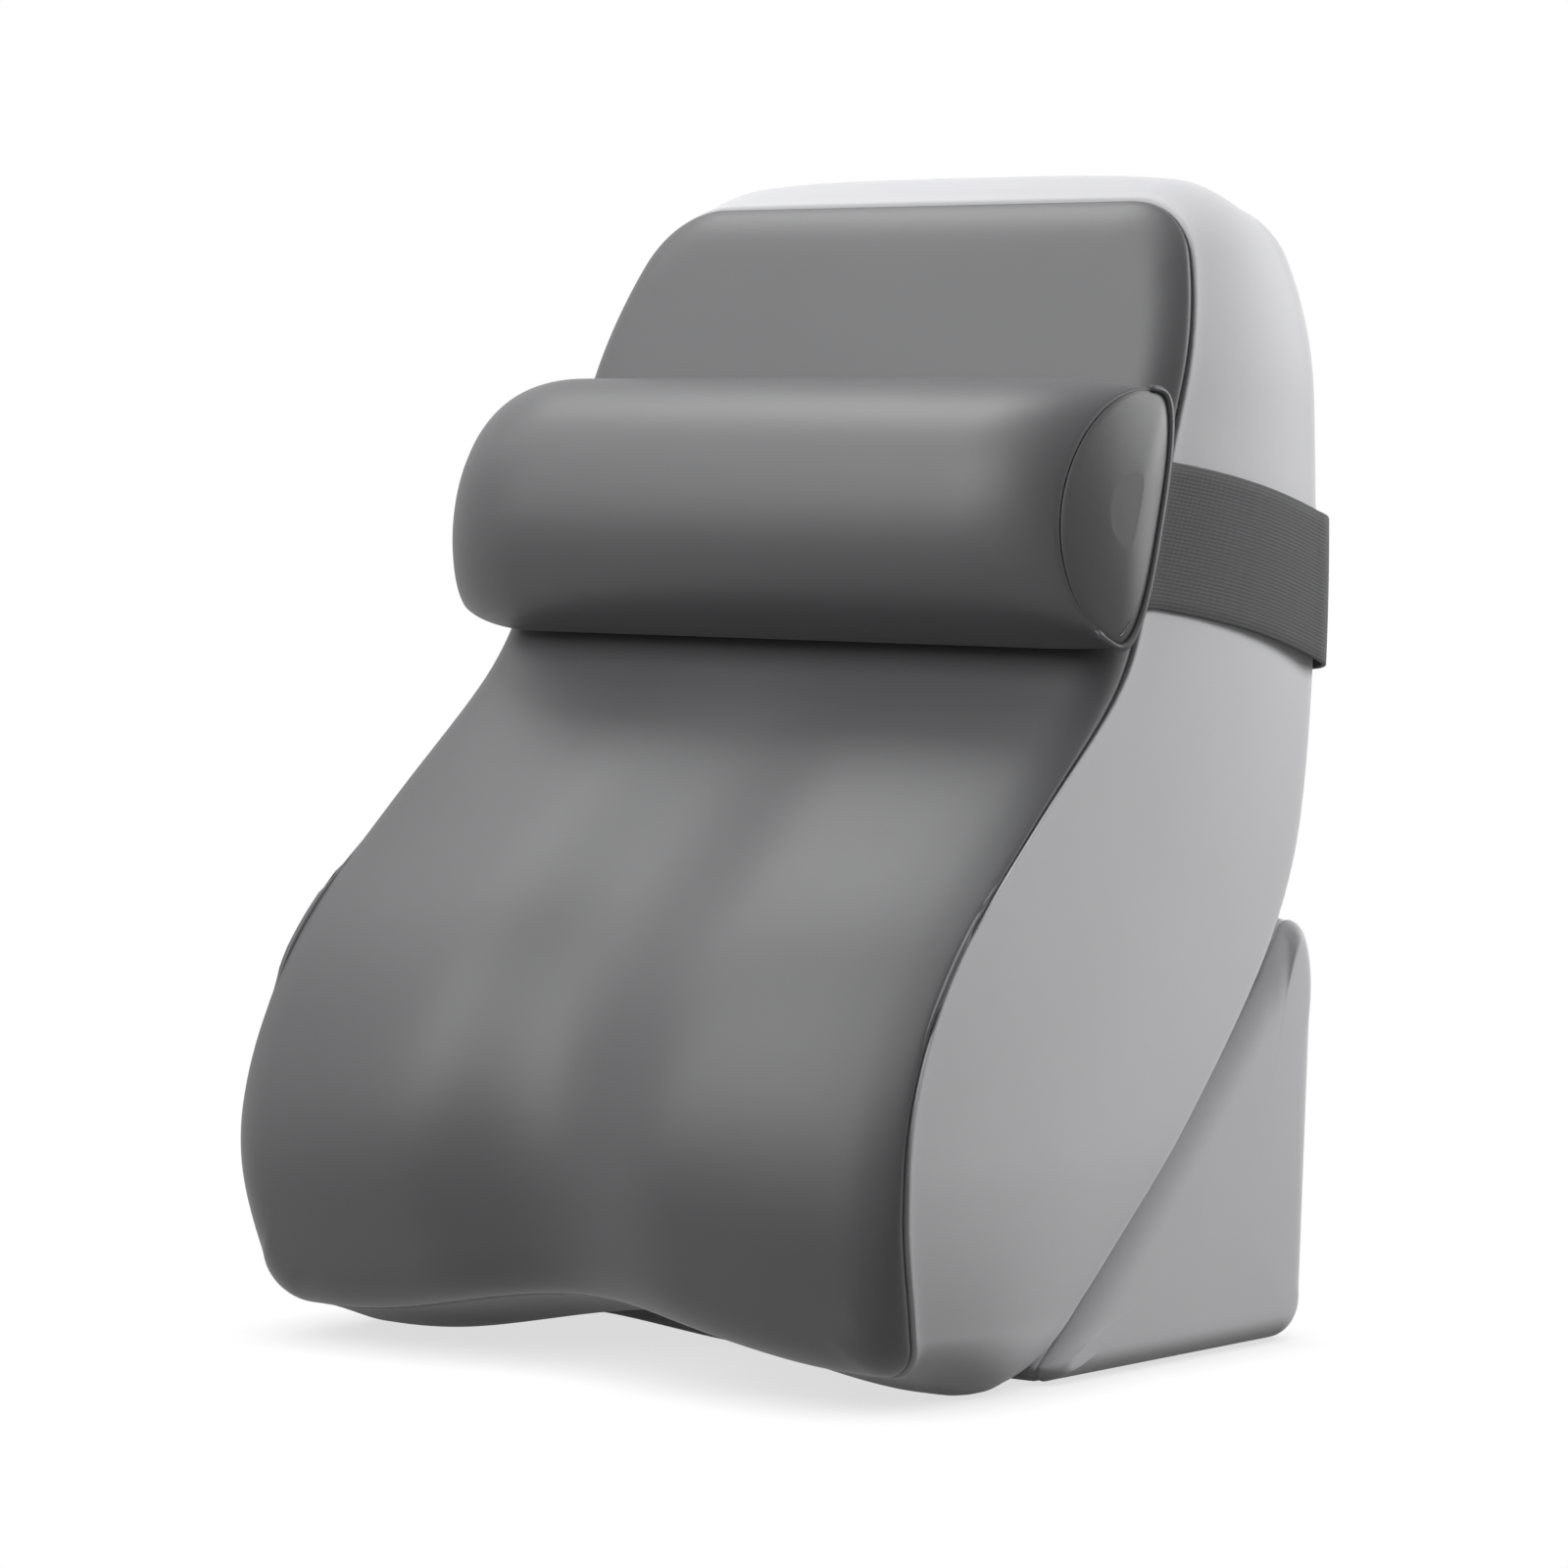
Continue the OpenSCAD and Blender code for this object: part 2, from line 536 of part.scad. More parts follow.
module backrest_foam() color(foam_white) in_frame() difference() {
    core(back_skin);
    at_back_zip() zip_bed(back_zip_len);
}
module backrest_front_cover() color(dark_knit) in_frame() first_panel(back_skin, front_seam);
module backrest_gusset_cover() color(light_knit) in_frame()
    band_panel(back_skin, front_seam, back_seam);
module backrest_back_cover() color(light_knit) in_frame() difference() {
    last_panel(back_skin, back_seam);
    at_back_zip() zip_slot(back_zip_len);
}
module backrest_loop_strips() color(elastic_grey) in_frame() grip_strips(0.2);
module backrest_zip_tapes() color(nylon_grey) in_frame() at_back_zip() sunk()
    zip_tapes(back_zip_len);
module backrest_zip_chain() color(nylon_grey) in_frame() at_back_zip() sunk()
    zip_chain(back_zip_len);
module backrest_zip_slider() color(metal_grey) in_frame() at_back_zip() sunk()
    at_closed_end(back_zip_len) zip_slider();
module backrest_zip_pull() color(metal_grey) in_frame() at_back_zip() sunk()
    at_closed_end(back_zip_len) zip_pull();

module roll_foam() color(foam_white) in_frame() core(roll_skin);
module roll_tube_cover() color(dark_knit) in_frame()
    band_panel(roll_skin, roll_seam_left, roll_seam_right);
module roll_end_cap_left() color(dark_knit) in_frame() first_panel(roll_skin, roll_seam_left);
module roll_end_cap_right() color(dark_knit) in_frame() last_panel(roll_skin, roll_seam_right);
module roll_strap() color(elastic_grey) in_frame() {
    rows = [for (k = [0 : strap_rows - 1]) k];
    lines = concat([for (k = rows) strap_line(k, strap_t)],
        [for (k = reversed(rows)) strap_line(k, 0)]);
    n = len(lines[0]);
    rings = [for (i = [0 : n - 1]) [for (line = lines) line[i]]];
    ring_solid(rings, (rings[0][0] + rings[0][strap_rows]) / 2,
        (rings[n - 1][0] + rings[n - 1][strap_rows]) / 2);
}

module wedge_foam() color(foam_white) in_frame() difference() {
    core(wedge_skin);
    at_wedge_zip() zip_bed(wedge_zip_len);
}
module wedge_wrap_cover() color(light_knit) in_frame() difference() {
    band_panel(wedge_skin, wedge_seam_right, wedge_seam_left);
    at_wedge_zip() zip_slot(wedge_zip_len);
}
module wedge_side_left() color(light_knit) in_frame() last_panel(wedge_skin, wedge_seam_left);
module wedge_side_right() color(light_knit) in_frame() first_panel(wedge_skin, wedge_seam_right);
module wedge_hook_strips() color(elastic_grey) in_frame() grip_strips(wedge_gap - 0.2 - strip_t);
module wedge_zip_tapes() color(nylon_grey) in_frame() at_wedge_zip() sunk()
    zip_tapes(wedge_zip_len);
module wedge_zip_chain() color(nylon_grey) in_frame() at_wedge_zip() sunk()
    zip_chain(wedge_zip_len);
module wedge_zip_slider() color(metal_grey) in_frame() at_wedge_zip() sunk()
    at_closed_end(wedge_zip_len) zip_slider();
module wedge_zip_pull() color(metal_grey) in_frame() at_wedge_zip() sunk()
    at_closed_end(wedge_zip_len) zip_pull();

backrest_foam();
backrest_front_cover();
backrest_gusset_cover();
backrest_back_cover();
backrest_loop_strips();
backrest_zip_tapes();
backrest_zip_chain();
backrest_zip_slider();
backrest_zip_pull();
roll_foam();
roll_tube_cover();
roll_end_cap_left();
roll_end_cap_right();
roll_strap();
wedge_foam();
wedge_wrap_cover();
wedge_side_left();
wedge_side_right();
wedge_hook_strips();
wedge_zip_tapes();
wedge_zip_chain();
wedge_zip_slider();
wedge_zip_pull();
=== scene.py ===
"""Back-support cushion with a strapped neck roll and a loose wedge: sewn covers, foam, zips and finishes.

Lengths in the cutting patterns below are millimetres, measured as the pattern maker does:
x to the side, depth y from the foremost point of the side seams, height z from the floor.
"""
import math

import bmesh
import bpy
import numpy as np
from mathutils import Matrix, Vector


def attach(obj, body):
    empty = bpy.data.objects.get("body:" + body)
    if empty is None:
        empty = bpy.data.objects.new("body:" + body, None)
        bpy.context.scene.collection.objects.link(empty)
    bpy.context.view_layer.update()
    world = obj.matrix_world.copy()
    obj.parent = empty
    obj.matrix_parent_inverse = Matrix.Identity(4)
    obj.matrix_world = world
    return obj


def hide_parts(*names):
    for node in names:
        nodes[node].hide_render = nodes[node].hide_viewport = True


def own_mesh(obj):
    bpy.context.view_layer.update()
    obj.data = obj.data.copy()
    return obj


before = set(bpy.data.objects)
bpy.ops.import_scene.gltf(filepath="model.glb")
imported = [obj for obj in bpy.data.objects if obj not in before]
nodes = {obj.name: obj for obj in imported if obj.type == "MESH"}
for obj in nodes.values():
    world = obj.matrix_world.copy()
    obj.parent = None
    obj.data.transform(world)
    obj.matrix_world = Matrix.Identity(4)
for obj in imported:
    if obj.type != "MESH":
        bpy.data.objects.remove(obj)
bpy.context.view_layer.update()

scene = bpy.context.scene
MM = 0.001
DEPTH_MID = 181.85     # depth of the model's middle


def in_metres(points):
    """Pattern points in millimetres, as places in the model."""
    return (np.asarray(points, float) - [0, DEPTH_MID, 0]) * MM


# ---------- Curves of the patterns ----------

def curve(knots, at):
    """Smooth curve through knots [at, value]."""
    knots, at = np.array(knots, float), np.asarray(at, float)
    last = len(knots) - 1
    slopes = np.array([
        (knots[min(k + 1, last)][1] - knots[max(k - 1, 0)][1])
        / (knots[min(k + 1, last)][0] - knots[max(k - 1, 0)][0])
        for k in range(last + 1)
    ])
    k = np.clip(np.searchsorted(knots[:, 0], at, side="right") - 1, 0, last - 1)
    span = knots[k + 1, 0] - knots[k, 0]
    t = (at - knots[k, 0]) / span
    return (
        knots[k, 1] * (1 + 2 * t) * (1 - t) ** 2
        + knots[k + 1, 1] * t * t * (3 - 2 * t)
        + span * t * (1 - t) * (slopes[k] * (1 - t) - slopes[k + 1] * t)
    )


def ease(t):
    t = np.clip(t, 0, 1)
    return t * t * (3 - 2 * t)


def lerp(a, b, t):
    return a + (b - a) * t


def sine(degrees):
    return np.sin(np.radians(degrees))


def cosine(degrees):
    return np.cos(np.radians(degrees))


FRONT = [[0, 3], [40, -12], [100, -25], [160, -14], [220, 21.5], [280, 84],
         [340, 152.8], [362, 172], [385, 185.3], [620, 288.7]]
BACK = [[0, 112], [18, 136], [53, 174], [126, 249], [175, 296], [215, 328.5],
        [260, 353], [320, 369], [400, 380.5], [480, 385.5], [540, 386.5], [620, 386]]
EDGE_SHARE = [[0, 1.05], [60, 1], [180, 0.86], [290, 0.86], [350, 0.9], [440, 0.76], [540, 0.58], [620, 0.45]]
VALLEY = [[0, 10], [60, 12], [110, 14], [165, 16], [225, 17], [290, 12], [350, 3], [420, 0], [620, 0]]
FALL = [[0, 0], [80, 4], [180, 10], [290, 8], [350, 3], [390, 0], [620, 0]]
BACK_W, EDGE_DEPTH, EDGE_WIDTH = 450, 25, 26
VALLEY_HALF, LOBE_CREST, LOBE_EDGE = 94, 100, 195
# For each millimetre that a lobe falls off to the side, its rounded edge is wider and fuller
LOBE_ROUND, LOBE_FULL = 1.4, 0.02
PANEL_OUT = [[0, 0.5], [60, 2.5], [180, 4.4], [290, 4.4], [350, 4.2], [440, 0.5], [540, 2.8], [600, 5.5], [620, 5.5]]
SIDE_SWELL, TOP_SWELL = 6, 15
HIP_Z, TAPER, TUCK = 115, 0.0545, 0.0011
FOOT_R, FOOT_Z, ARCH_H, ARCH_HALF = 24, 15, 22, 180
SHOULDER_Z, SHOULDER_WIDE_R, SHOULDER_TIGHT_R, SHOULDER_TURN = 500, 198, 53, 25
FOOT_DROP, FOOT_SWELL, ARCH_SWELL = 15, 6, 4


def front_y(z):
    return curve(FRONT, z)


def back_y(z):
    return curve(BACK, z)


def half_w(z):
    z = np.asarray(z, float)
    return BACK_W / 2 - np.where(z > HIP_Z, TAPER * (z - HIP_Z), TUCK * (HIP_Z - z) ** 2)


def wave(x, half):
    return np.where(np.abs(x) < half, cosine(90 * np.asarray(x, float) / half) ** 2, 0)


def valley(x, z):
    return curve(VALLEY, z) * wave(x, VALLEY_HALF)


def fall(x, z):
    beyond = np.maximum(np.abs(x) - LOBE_CREST, 0) / (LOBE_EDGE - LOBE_CREST)
    return curve(FALL, z) * beyond ** 1.6


def edge_at(z):
    return EDGE_DEPTH * curve(EDGE_SHARE, z)


def back_r(z):
    return lerp(12, 22, ease(np.asarray(z, float) / 80))


# ---------- Backrest ----------

# Points along half of the front panel's outline: bottom, foot corner, side, wide and tight
# shoulder, top. The panel's grid turns its corners in the middle of the foot and tight arcs.
HALF_STEPS = dict(bottom=22, foot=12, side=42, wide=10, tight=16, top=20)
GRID_CORNER = HALF_STEPS["bottom"] + HALF_STEPS["foot"] // 2
HALF_COUNT = sum(HALF_STEPS.values())


def outline():
    """The closed outline of the front panel as [x, z] points, from the bottom middle to the right."""
    n = HALF_STEPS
    side_start = FOOT_Z + FOOT_R
    foot_x = float(half_w(side_start)) - FOOT_R
    x = foot_x * np.arange(n["bottom"]) / n["bottom"]
    bottom = np.stack([x, FOOT_Z + ARCH_H * wave(x, ARCH_HALF)], 1)
    a = -90 + 90 * np.arange(n["foot"]) / n["foot"]
    foot = np.stack([foot_x + FOOT_R * cosine(a), side_start + FOOT_R * sine(a)], 1)
    z = lerp(side_start, SHOULDER_Z, (np.arange(n["side"]) / n["side"]) ** 1.1)
    side = np.stack([half_w(z), z], 1)
    start = math.degrees(math.atan(TAPER))

    def arc(at, r, first, last, count):
        a = lerp(first, last, np.arange(count + 1) / count)
        return at + r * np.stack([cosine(a) - cosine(first), sine(a) - sine(first)], 1)

    wide = arc([float(half_w(SHOULDER_Z)), SHOULDER_Z], SHOULDER_WIDE_R, start, SHOULDER_TURN, n["wide"])
    tight = arc(wide[-1], SHOULDER_TIGHT_R, SHOULDER_TURN, 90, n["tight"])
    top_x = tight[-1][0] * (1 - np.arange(n["top"] + 1) / n["top"])
    top = np.stack([top_x, np.full(len(top_x), tight[-1][1])], 1)
    half = np.concatenate([bottom, foot, side, wide[:-1], tight[:-1], top])
    return np.concatenate([half, (half * [-1, 1])[-2:0:-1]])


def loop_normals(loop):
    d = np.roll(loop, -1, 0) - np.roll(loop, 1, 0)
    n = np.stack([d[:, 1], -d[:, 0]], 1)
    return n / np.linalg.norm(n, axis=1, keepdims=True)


def inset(loop, middle, d):
    """The loop moved inwards by d, along rays to its middle, so that the rays never cross."""
    r = loop - middle
    return middle + r * (1 - d / np.sum(r * loop_normals(loop), 1))[:, None]


def arc_lengths(loop):
    """Distance run along a closed loop at each of its points, and once round."""
    steps = np.linalg.norm(np.roll(loop, -1, 0) - loop, axis=1)
    return np.concatenate([[0], np.cumsum(steps)])


FRONT_MIDDLE = np.array([0.0, 300.0])
rear_outline = outline()
panel_outline = rear_outline * np.stack(
    [1 + curve(PANEL_OUT, rear_outline[:, 1]) / (BACK_W / 2), np.ones(len(rear_outline))], 1)
outward = loop_normals(panel_outline)
foot_share = np.maximum(-outward[:, 1], 0)
head_share = np.maximum(outward[:, 1], 0) ** 2 * (
    1 - np.minimum(np.abs(panel_outline[:, 0]) / 182, 1) ** 4)
rear_outline[:, 1] -= foot_share * (FOOT_DROP + 2 * wave(panel_outline[:, 0], ARCH_HALF))


def front_ring(angle):
    """Ring across the rounded front edge: 90 where it meets the flat of the panel, 0 at the seam."""
    lobe = curve(FALL, panel_outline[:, 1])
    full = 1 - LOBE_FULL * lobe
    rise = sine(angle) ** full
    q = inset(panel_outline, FRONT_MIDDLE, (EDGE_WIDTH + LOBE_ROUND * lobe) * (1 - cosine(angle) ** full))
    x, z = q.T
    y = front_y(z) + edge_at(z) * (1 - rise) + valley(x, z) + fall(x, z) * rise
    return np.stack([x, y, z], 1)


def back_ring(angle):
    r = back_r(rear_outline[:, 1])
    q = inset(rear_outline, FRONT_MIDDLE, r * (1 - cosine(angle)))
    return np.stack([q[:, 0], back_y(q[:, 1]) - r * (1 - sine(angle)), q[:, 1]], 1)


def gusset_ring(t):
    """Ring round the gusset, t from 0 at the front seam to 1 where the back edge starts to turn."""
    a = front_ring(0)
    b = back_ring(0)
    down = lerp(FOOT_SWELL, ARCH_SWELL, wave(panel_outline[:, 0], ARCH_HALF))
    swell = SIDE_SWELL + (TOP_SWELL - SIDE_SWELL) * head_share + (down - SIDE_SWELL) * foot_share
    shape = sine(180 * np.power(t, 1 + 0.8 * foot_share))
    p = a + (b - a) * np.reshape(t, (-1, 1))
    p[:, 0] += outward[:, 0] * swell * shape
    p[:, 2] = np.maximum(p[:, 2] + outward[:, 1] * swell * shape, 0)
    return p


gusset_depth = np.linalg.norm(back_ring(0) - front_ring(0), axis=1)


# ---------- Sewing: closed skins of cloth made from rings ----------

class Skin:
    """Rings of a closed skin, each with the panel that follows it and what its seam does there.

    held is 1 on a sewn ring, shape how far the cloth dips (minus) or stands up beside a seam,
    and run where the ring lies across the cloth. All in millimetres.
    """

    def __init__(self):
        self.rings, self.panels, self.held, self.shape, self.run = [], [], [], [], []

    def add(self, ring, panel, run, shape=0.0, held=0.0):
        self.rings.append(ring)
        self.panels.append(panel)
        self.run.append(run)
        self.shape.append(np.broadcast_to(shape, len(ring)))
        self.held.append(held)

    def tube(self):
        """The rings as a tube of cloth: a flat grid rolled round and closed along its edge."""
        count, rows = len(self.rings[0]), len(self.rings)
        bm = bmesh.new()
        bmesh.ops.create_grid(bm, x_segments=count, y_segments=rows - 1, size=1)
        held = bm.verts.layers.float.new("held")
        shape = bm.verts.layers.float.new("shape")
        uv = bm.loops.layers.uv.new("cloth")
        along = arc_lengths(self.rings[rows // 2])
        column = {v: round((v.co.x + 1) / 2 * count) for v in bm.verts}
        row = {v: round((v.co.y + 1) / 2 * (rows - 1)) for v in bm.verts}
        for f in bm.faces:
            f.material_index = self.panels[min(row[v] for v in f.verts)]
            for loop in f.loops:
                loop[uv].uv = along[column[loop.vert]] * MM, self.run[row[loop.vert]] * MM
        for v in bm.verts:
            v.co = in_metres(self.rings[row[v]][column[v] % count])
            v[held], v[shape] = self.held[row[v]], self.shape[row[v]][column[v] % count] * MM
        ends = [sorted((v for v in bm.verts if row[v] == r and column[v] < count), key=column.get)
                for r in (0, rows - 1)]
        first = {row[v]: v for v in bm.verts if column[v] == 0}
        bmesh.ops.weld_verts(bm, targetmap={v: first[row[v]] for v in bm.verts if column[v] == count})
        return bm, ends


RELAX = 40


def fill_grid(bm, end, corner, panel):
    """Closes an end with an even grid that turns its corners at four points of the ring."""
    n = len(end)
    sides = [(i % n, (i + 1) % n) for i in range(-corner, corner)]
    sides += [(i, i + 1) for i in range(n // 2 - corner, n // 2 + corner)]
    edges = [bm.edges.get((end[a], end[b])) for a, b in sides]
    faces = bmesh.ops.grid_fill(bm, edges=edges, mat_nr=panel)["faces"]
    inside = list({v for f in faces for v in f.verts} - set(end))
    for _ in range(RELAX):
        bmesh.ops.smooth_vert(bm, verts=inside, factor=1, use_axis_x=True, use_axis_y=True, use_axis_z=True)
    return faces, inside


def lay_flat(bm, faces, a, b):
    """Runs the cloth's texture straight across faces, along two of the axes."""
    uv = bm.loops.layers.uv["cloth"]
    for f in faces:
        for loop in f.loops:
            loop[uv].uv = loop.vert.co[a], loop.vert.co[b]


def to_object(bm, name, outwards=True):
    if outwards:
        bmesh.ops.recalc_face_normals(bm, faces=bm.faces[:])
    mesh = bpy.data.meshes.new(name)
    bm.to_mesh(mesh)
    bm.free()
    mesh.shade_smooth()
    obj = bpy.data.objects.new(name, mesh)
    scene.collection.objects.link(obj)
    return obj


def copy_of(obj):
    bm = bmesh.new()
    bm.from_mesh(obj.data)
    return bm


def per_point(mesh, name):
    """Places, normals or a named value of a mesh's points."""
    source, key, width = {
        "places": (mesh.vertices, "co", 3), "normals": (mesh.vertices, "normal", 3),
    }.get(name) or (mesh.attributes[name].data, "value", 1)
    values = np.zeros(len(mesh.vertices) * width, np.float32)
    source.foreach_get(key, values)
    values = values.astype(float)
    return values.reshape(-1, 3) if width == 3 else values


def move(mesh, places):
    mesh.vertices.foreach_set("co", np.asarray(places, np.float32).reshape(-1))
    mesh.update()


def smoothed(obj):
    """The object with one level of subdivision applied."""
    subdivide = obj.modifiers.new("Smooth", "SUBSURF")
    subdivide.levels = subdivide.render_levels = 1
    graph = bpy.context.evaluated_depsgraph_get()
    mesh = bpy.data.meshes.new_from_object(
        obj.evaluated_get(graph), preserve_all_data_layers=True, depsgraph=graph)
    old = obj.data
    obj.modifiers.clear()
    obj.data = mesh
    bpy.data.meshes.remove(old)
    mesh.shade_smooth()
    return obj


SIM_FRAMES = 20
SWELL_CAP = 0.0022     # past this the cloth is taut on its foam


def evened(mesh, values, fixed, passes=40):
    """Values spread evenly along the cloth's threads, except where they are fixed."""
    ends = np.zeros(len(mesh.edges) * 2, np.int32)
    mesh.edges.foreach_get("vertices", ends)
    a, b = np.concatenate([ends[::2], ends[1::2]]), np.concatenate([ends[1::2], ends[::2]])
    count = np.bincount(a, minlength=len(values))
    for _ in range(passes):
        around = np.bincount(a, values[b], len(values)) / count
        values = np.where(fixed, values, (values + around) / 2)
    return values


def crown(obj, held, pull):
    """Blows the sewn cloth up against its seams, then draws the seams in.

    held is how firmly each point is held, 1 at a seam. The cloth ends on the foam's surface,
    and pull metres inside it at a seam, with the crown between that the simulation gives.
    """
    mesh = obj.data
    start, out = per_point(mesh, "places"), per_point(mesh, "normals")
    pins = obj.vertex_groups.new(name="sewn")
    for i in np.nonzero(held > 0)[0]:
        pins.add([int(i)], float(held[i]), "REPLACE")
    cloth = obj.modifiers.new("Swell", "CLOTH")
    s = cloth.settings
    s.quality, s.mass, s.air_damping = 4, 0.25, 4
    s.tension_stiffness = s.compression_stiffness = 22
    s.shear_stiffness, s.bending_stiffness = 12, 1.5
    s.use_pressure, s.uniform_pressure_force = True, 40
    s.vertex_group_mass = "sewn"
    s.effector_weights.gravity = 0
    cloth.collision_settings.use_collision = False
    cloth.point_cache.frame_start, cloth.point_cache.frame_end = 1, SIM_FRAMES
    for f in range(1, SIM_FRAMES + 1):
        scene.frame_set(f)
    graph = bpy.context.evaluated_depsgraph_get()
    rise = np.sum((per_point(obj.evaluated_get(graph).data, "places") - start) * out, 1)
    obj.modifiers.clear()
    obj.vertex_groups.clear()
    scene.frame_set(1)
    taut = evened(mesh, np.tanh(np.maximum(rise, 0) / SWELL_CAP), held > 0.5)
    move(mesh, start + out * (-pull * (1 - taut))[:, None])
    return obj


def seamed(obj):
    """Smooths the cloth, then shapes the narrow dips and edges beside its seams."""
    mesh = smoothed(obj).data
    move(mesh, per_point(mesh, "places") + per_point(mesh, "normals") * per_point(mesh, "shape")[:, None])
    return obj


def panel(skin, number, name):
    """One panel of a sewn skin as its own piece of cloth, 0.9 mm thick."""
    bm = copy_of(skin)
    bmesh.ops.delete(bm, geom=[f for f in bm.faces if f.material_index != number], context="FACES")
    for f in bm.faces:
        f.material_index = 0
    return to_object(bm, name, outwards=False)


def with_thickness(obj, t=0.9):
    solid = obj.modifiers.new("Thickness", "SOLIDIFY")
    solid.thickness, solid.offset = t * MM, -1
    return obj


def foam_core(skin, name, gap=7):
    """The foam under a skin: the same closed form, a little smaller. Taken before the seams draw in."""
    obj = to_object(copy_of(skin), name, outwards=False)
    move(obj.data, per_point(obj.data, "places") - per_point(obj.data, "normals") * gap * MM)
    return obj


def take_apart(skin):
    mesh = skin.data
    bpy.data.objects.remove(skin)
    bpy.data.meshes.remove(mesh)


# ---------- Backrest skin ----------

def seam_dip(s, depth, reach):
    """How far cloth dips at distance s from a seam, in millimetres."""
    return -depth * np.exp(-(s / reach) ** 2)


BACK_R = 22


def backrest_skin():
    skin = Skin()
    depth = float(gusset_depth.mean())
    for a in [90, 80, 70, 61, 52, 43, 35, 27, 20, 14, 9, 5, 2.4, 0.8]:
        ring = front_ring(a)
        from_seam = np.linalg.norm(ring - front_ring(0), axis=1)
        skin.add(ring, 0, -math.radians(a) * EDGE_DEPTH, seam_dip(from_seam, 1.7, 2.4))
    skin.add(front_ring(0), 1, 0, -1.9, held=1)
    # The gusset's edge stands a little proud of the dark panel, along the seam
    for s, stand in [(0.5, -0.3), (1.2, 0.35), (2.2, 0.4), (4, 0.15), (8, 0)]:
        skin.add(gusset_ring(s / gusset_depth), 1, s, stand)
    start = 8 / gusset_depth
    for t in np.linspace(0, 1, 27)[1:]:
        skin.add(gusset_ring(start + (1 - start) * t), 1, lerp(8, depth, t))
    for a in [15, 30, 42, 50, 55, 58.5, 60, 61.5, 65, 70, 80, 90]:
        s = math.radians(abs(60 - a)) * BACK_R
        skin.add(back_ring(a), 1 if a < 60 else 2, depth + math.radians(a) * BACK_R,
                 seam_dip(s, 1.1, 2), held=float(a == 60))
    bm, ends = skin.tube()
    faces, inside = fill_grid(bm, ends[0], GRID_CORNER, 0)
    for v in inside:
        x, z = v.co.x / MM, v.co.z / MM
        v.co = in_metres([x, float(front_y(z) + valley(x, z) + fall(x, z)), z])
    lay_flat(bm, faces, 0, 2)
    faces, inside = fill_grid(bm, ends[1], GRID_CORNER, 2)
    for v in inside:
        v.co = in_metres([v.co.x / MM, float(back_y(v.co.z / MM)), v.co.z / MM])
    lay_flat(bm, faces, 0, 2)
    return to_object(bm, "backrest_skin")


# ---------- Neck roll skin ----------

LEAN = math.atan(float(front_y(600) - front_y(400)) / 200)
ROLL_LEN, ROLL_H, ROLL_FRONT, ROLL_BACK, ROLL_Z = 406, 146, 64, 16, 438
ROLL_GAP, ROLL_MID_Q, ROLL_CAP, ROLL_END_W = 1.6, 14, 8, 56
# Each end: its slant towards the back, how much more of that it has low down, and how much the
# rounding narrows it all round, above in front and below in front
ROLL_ENDS = {1: (25, 9, 3, 10, 10), -1: (28.6, -2.2, 22, 19, 13)}
ROLL_SEAM = 66         # degrees across the rounded end, where the cap is sewn on
ROLL_POINTS = 96
CAP_R = 60


def roll_ring(way, x, turn, share=1.0):
    """Ring of the roll: turn is how far it has come across the rounded end, in degrees."""
    a, shrink = 360 * np.arange(ROLL_POINTS) / ROLL_POINTS, 1 - cosine(turn)
    c, s = cosine(a), sine(a)
    slanting, droop, round_, above, below = ROLL_ENDS[way]
    up = ROLL_H / 2 - shrink * (round_ + np.where(s > 0, above, below) * np.maximum(c, 0))
    power = 0.6 + 0.2 * shrink
    front, back = ROLL_FRONT - 31 * shrink, ROLL_BACK - 3 * shrink
    # Half an ellipse in front, and a squarer half behind
    p = np.where(c >= 0, up * s, up * np.sign(s) * np.abs(s) ** power) * share
    q = lerp(ROLL_MID_Q, np.where(c >= 0, front * c, -back * np.abs(c) ** power), share)
    slant = (slanting - droop * 2 * p / ROLL_H) * (ROLL_FRONT - q) / (ROLL_FRONT + ROLL_BACK)
    middle_y = float(front_y(ROLL_Z)) - (ROLL_BACK + ROLL_GAP) / math.cos(LEAN)
    return np.stack([way * (x + slant), middle_y + p * math.sin(LEAN) - q * math.cos(LEAN),
                     ROLL_Z + p * math.cos(LEAN) + q * math.sin(LEAN)], 1)


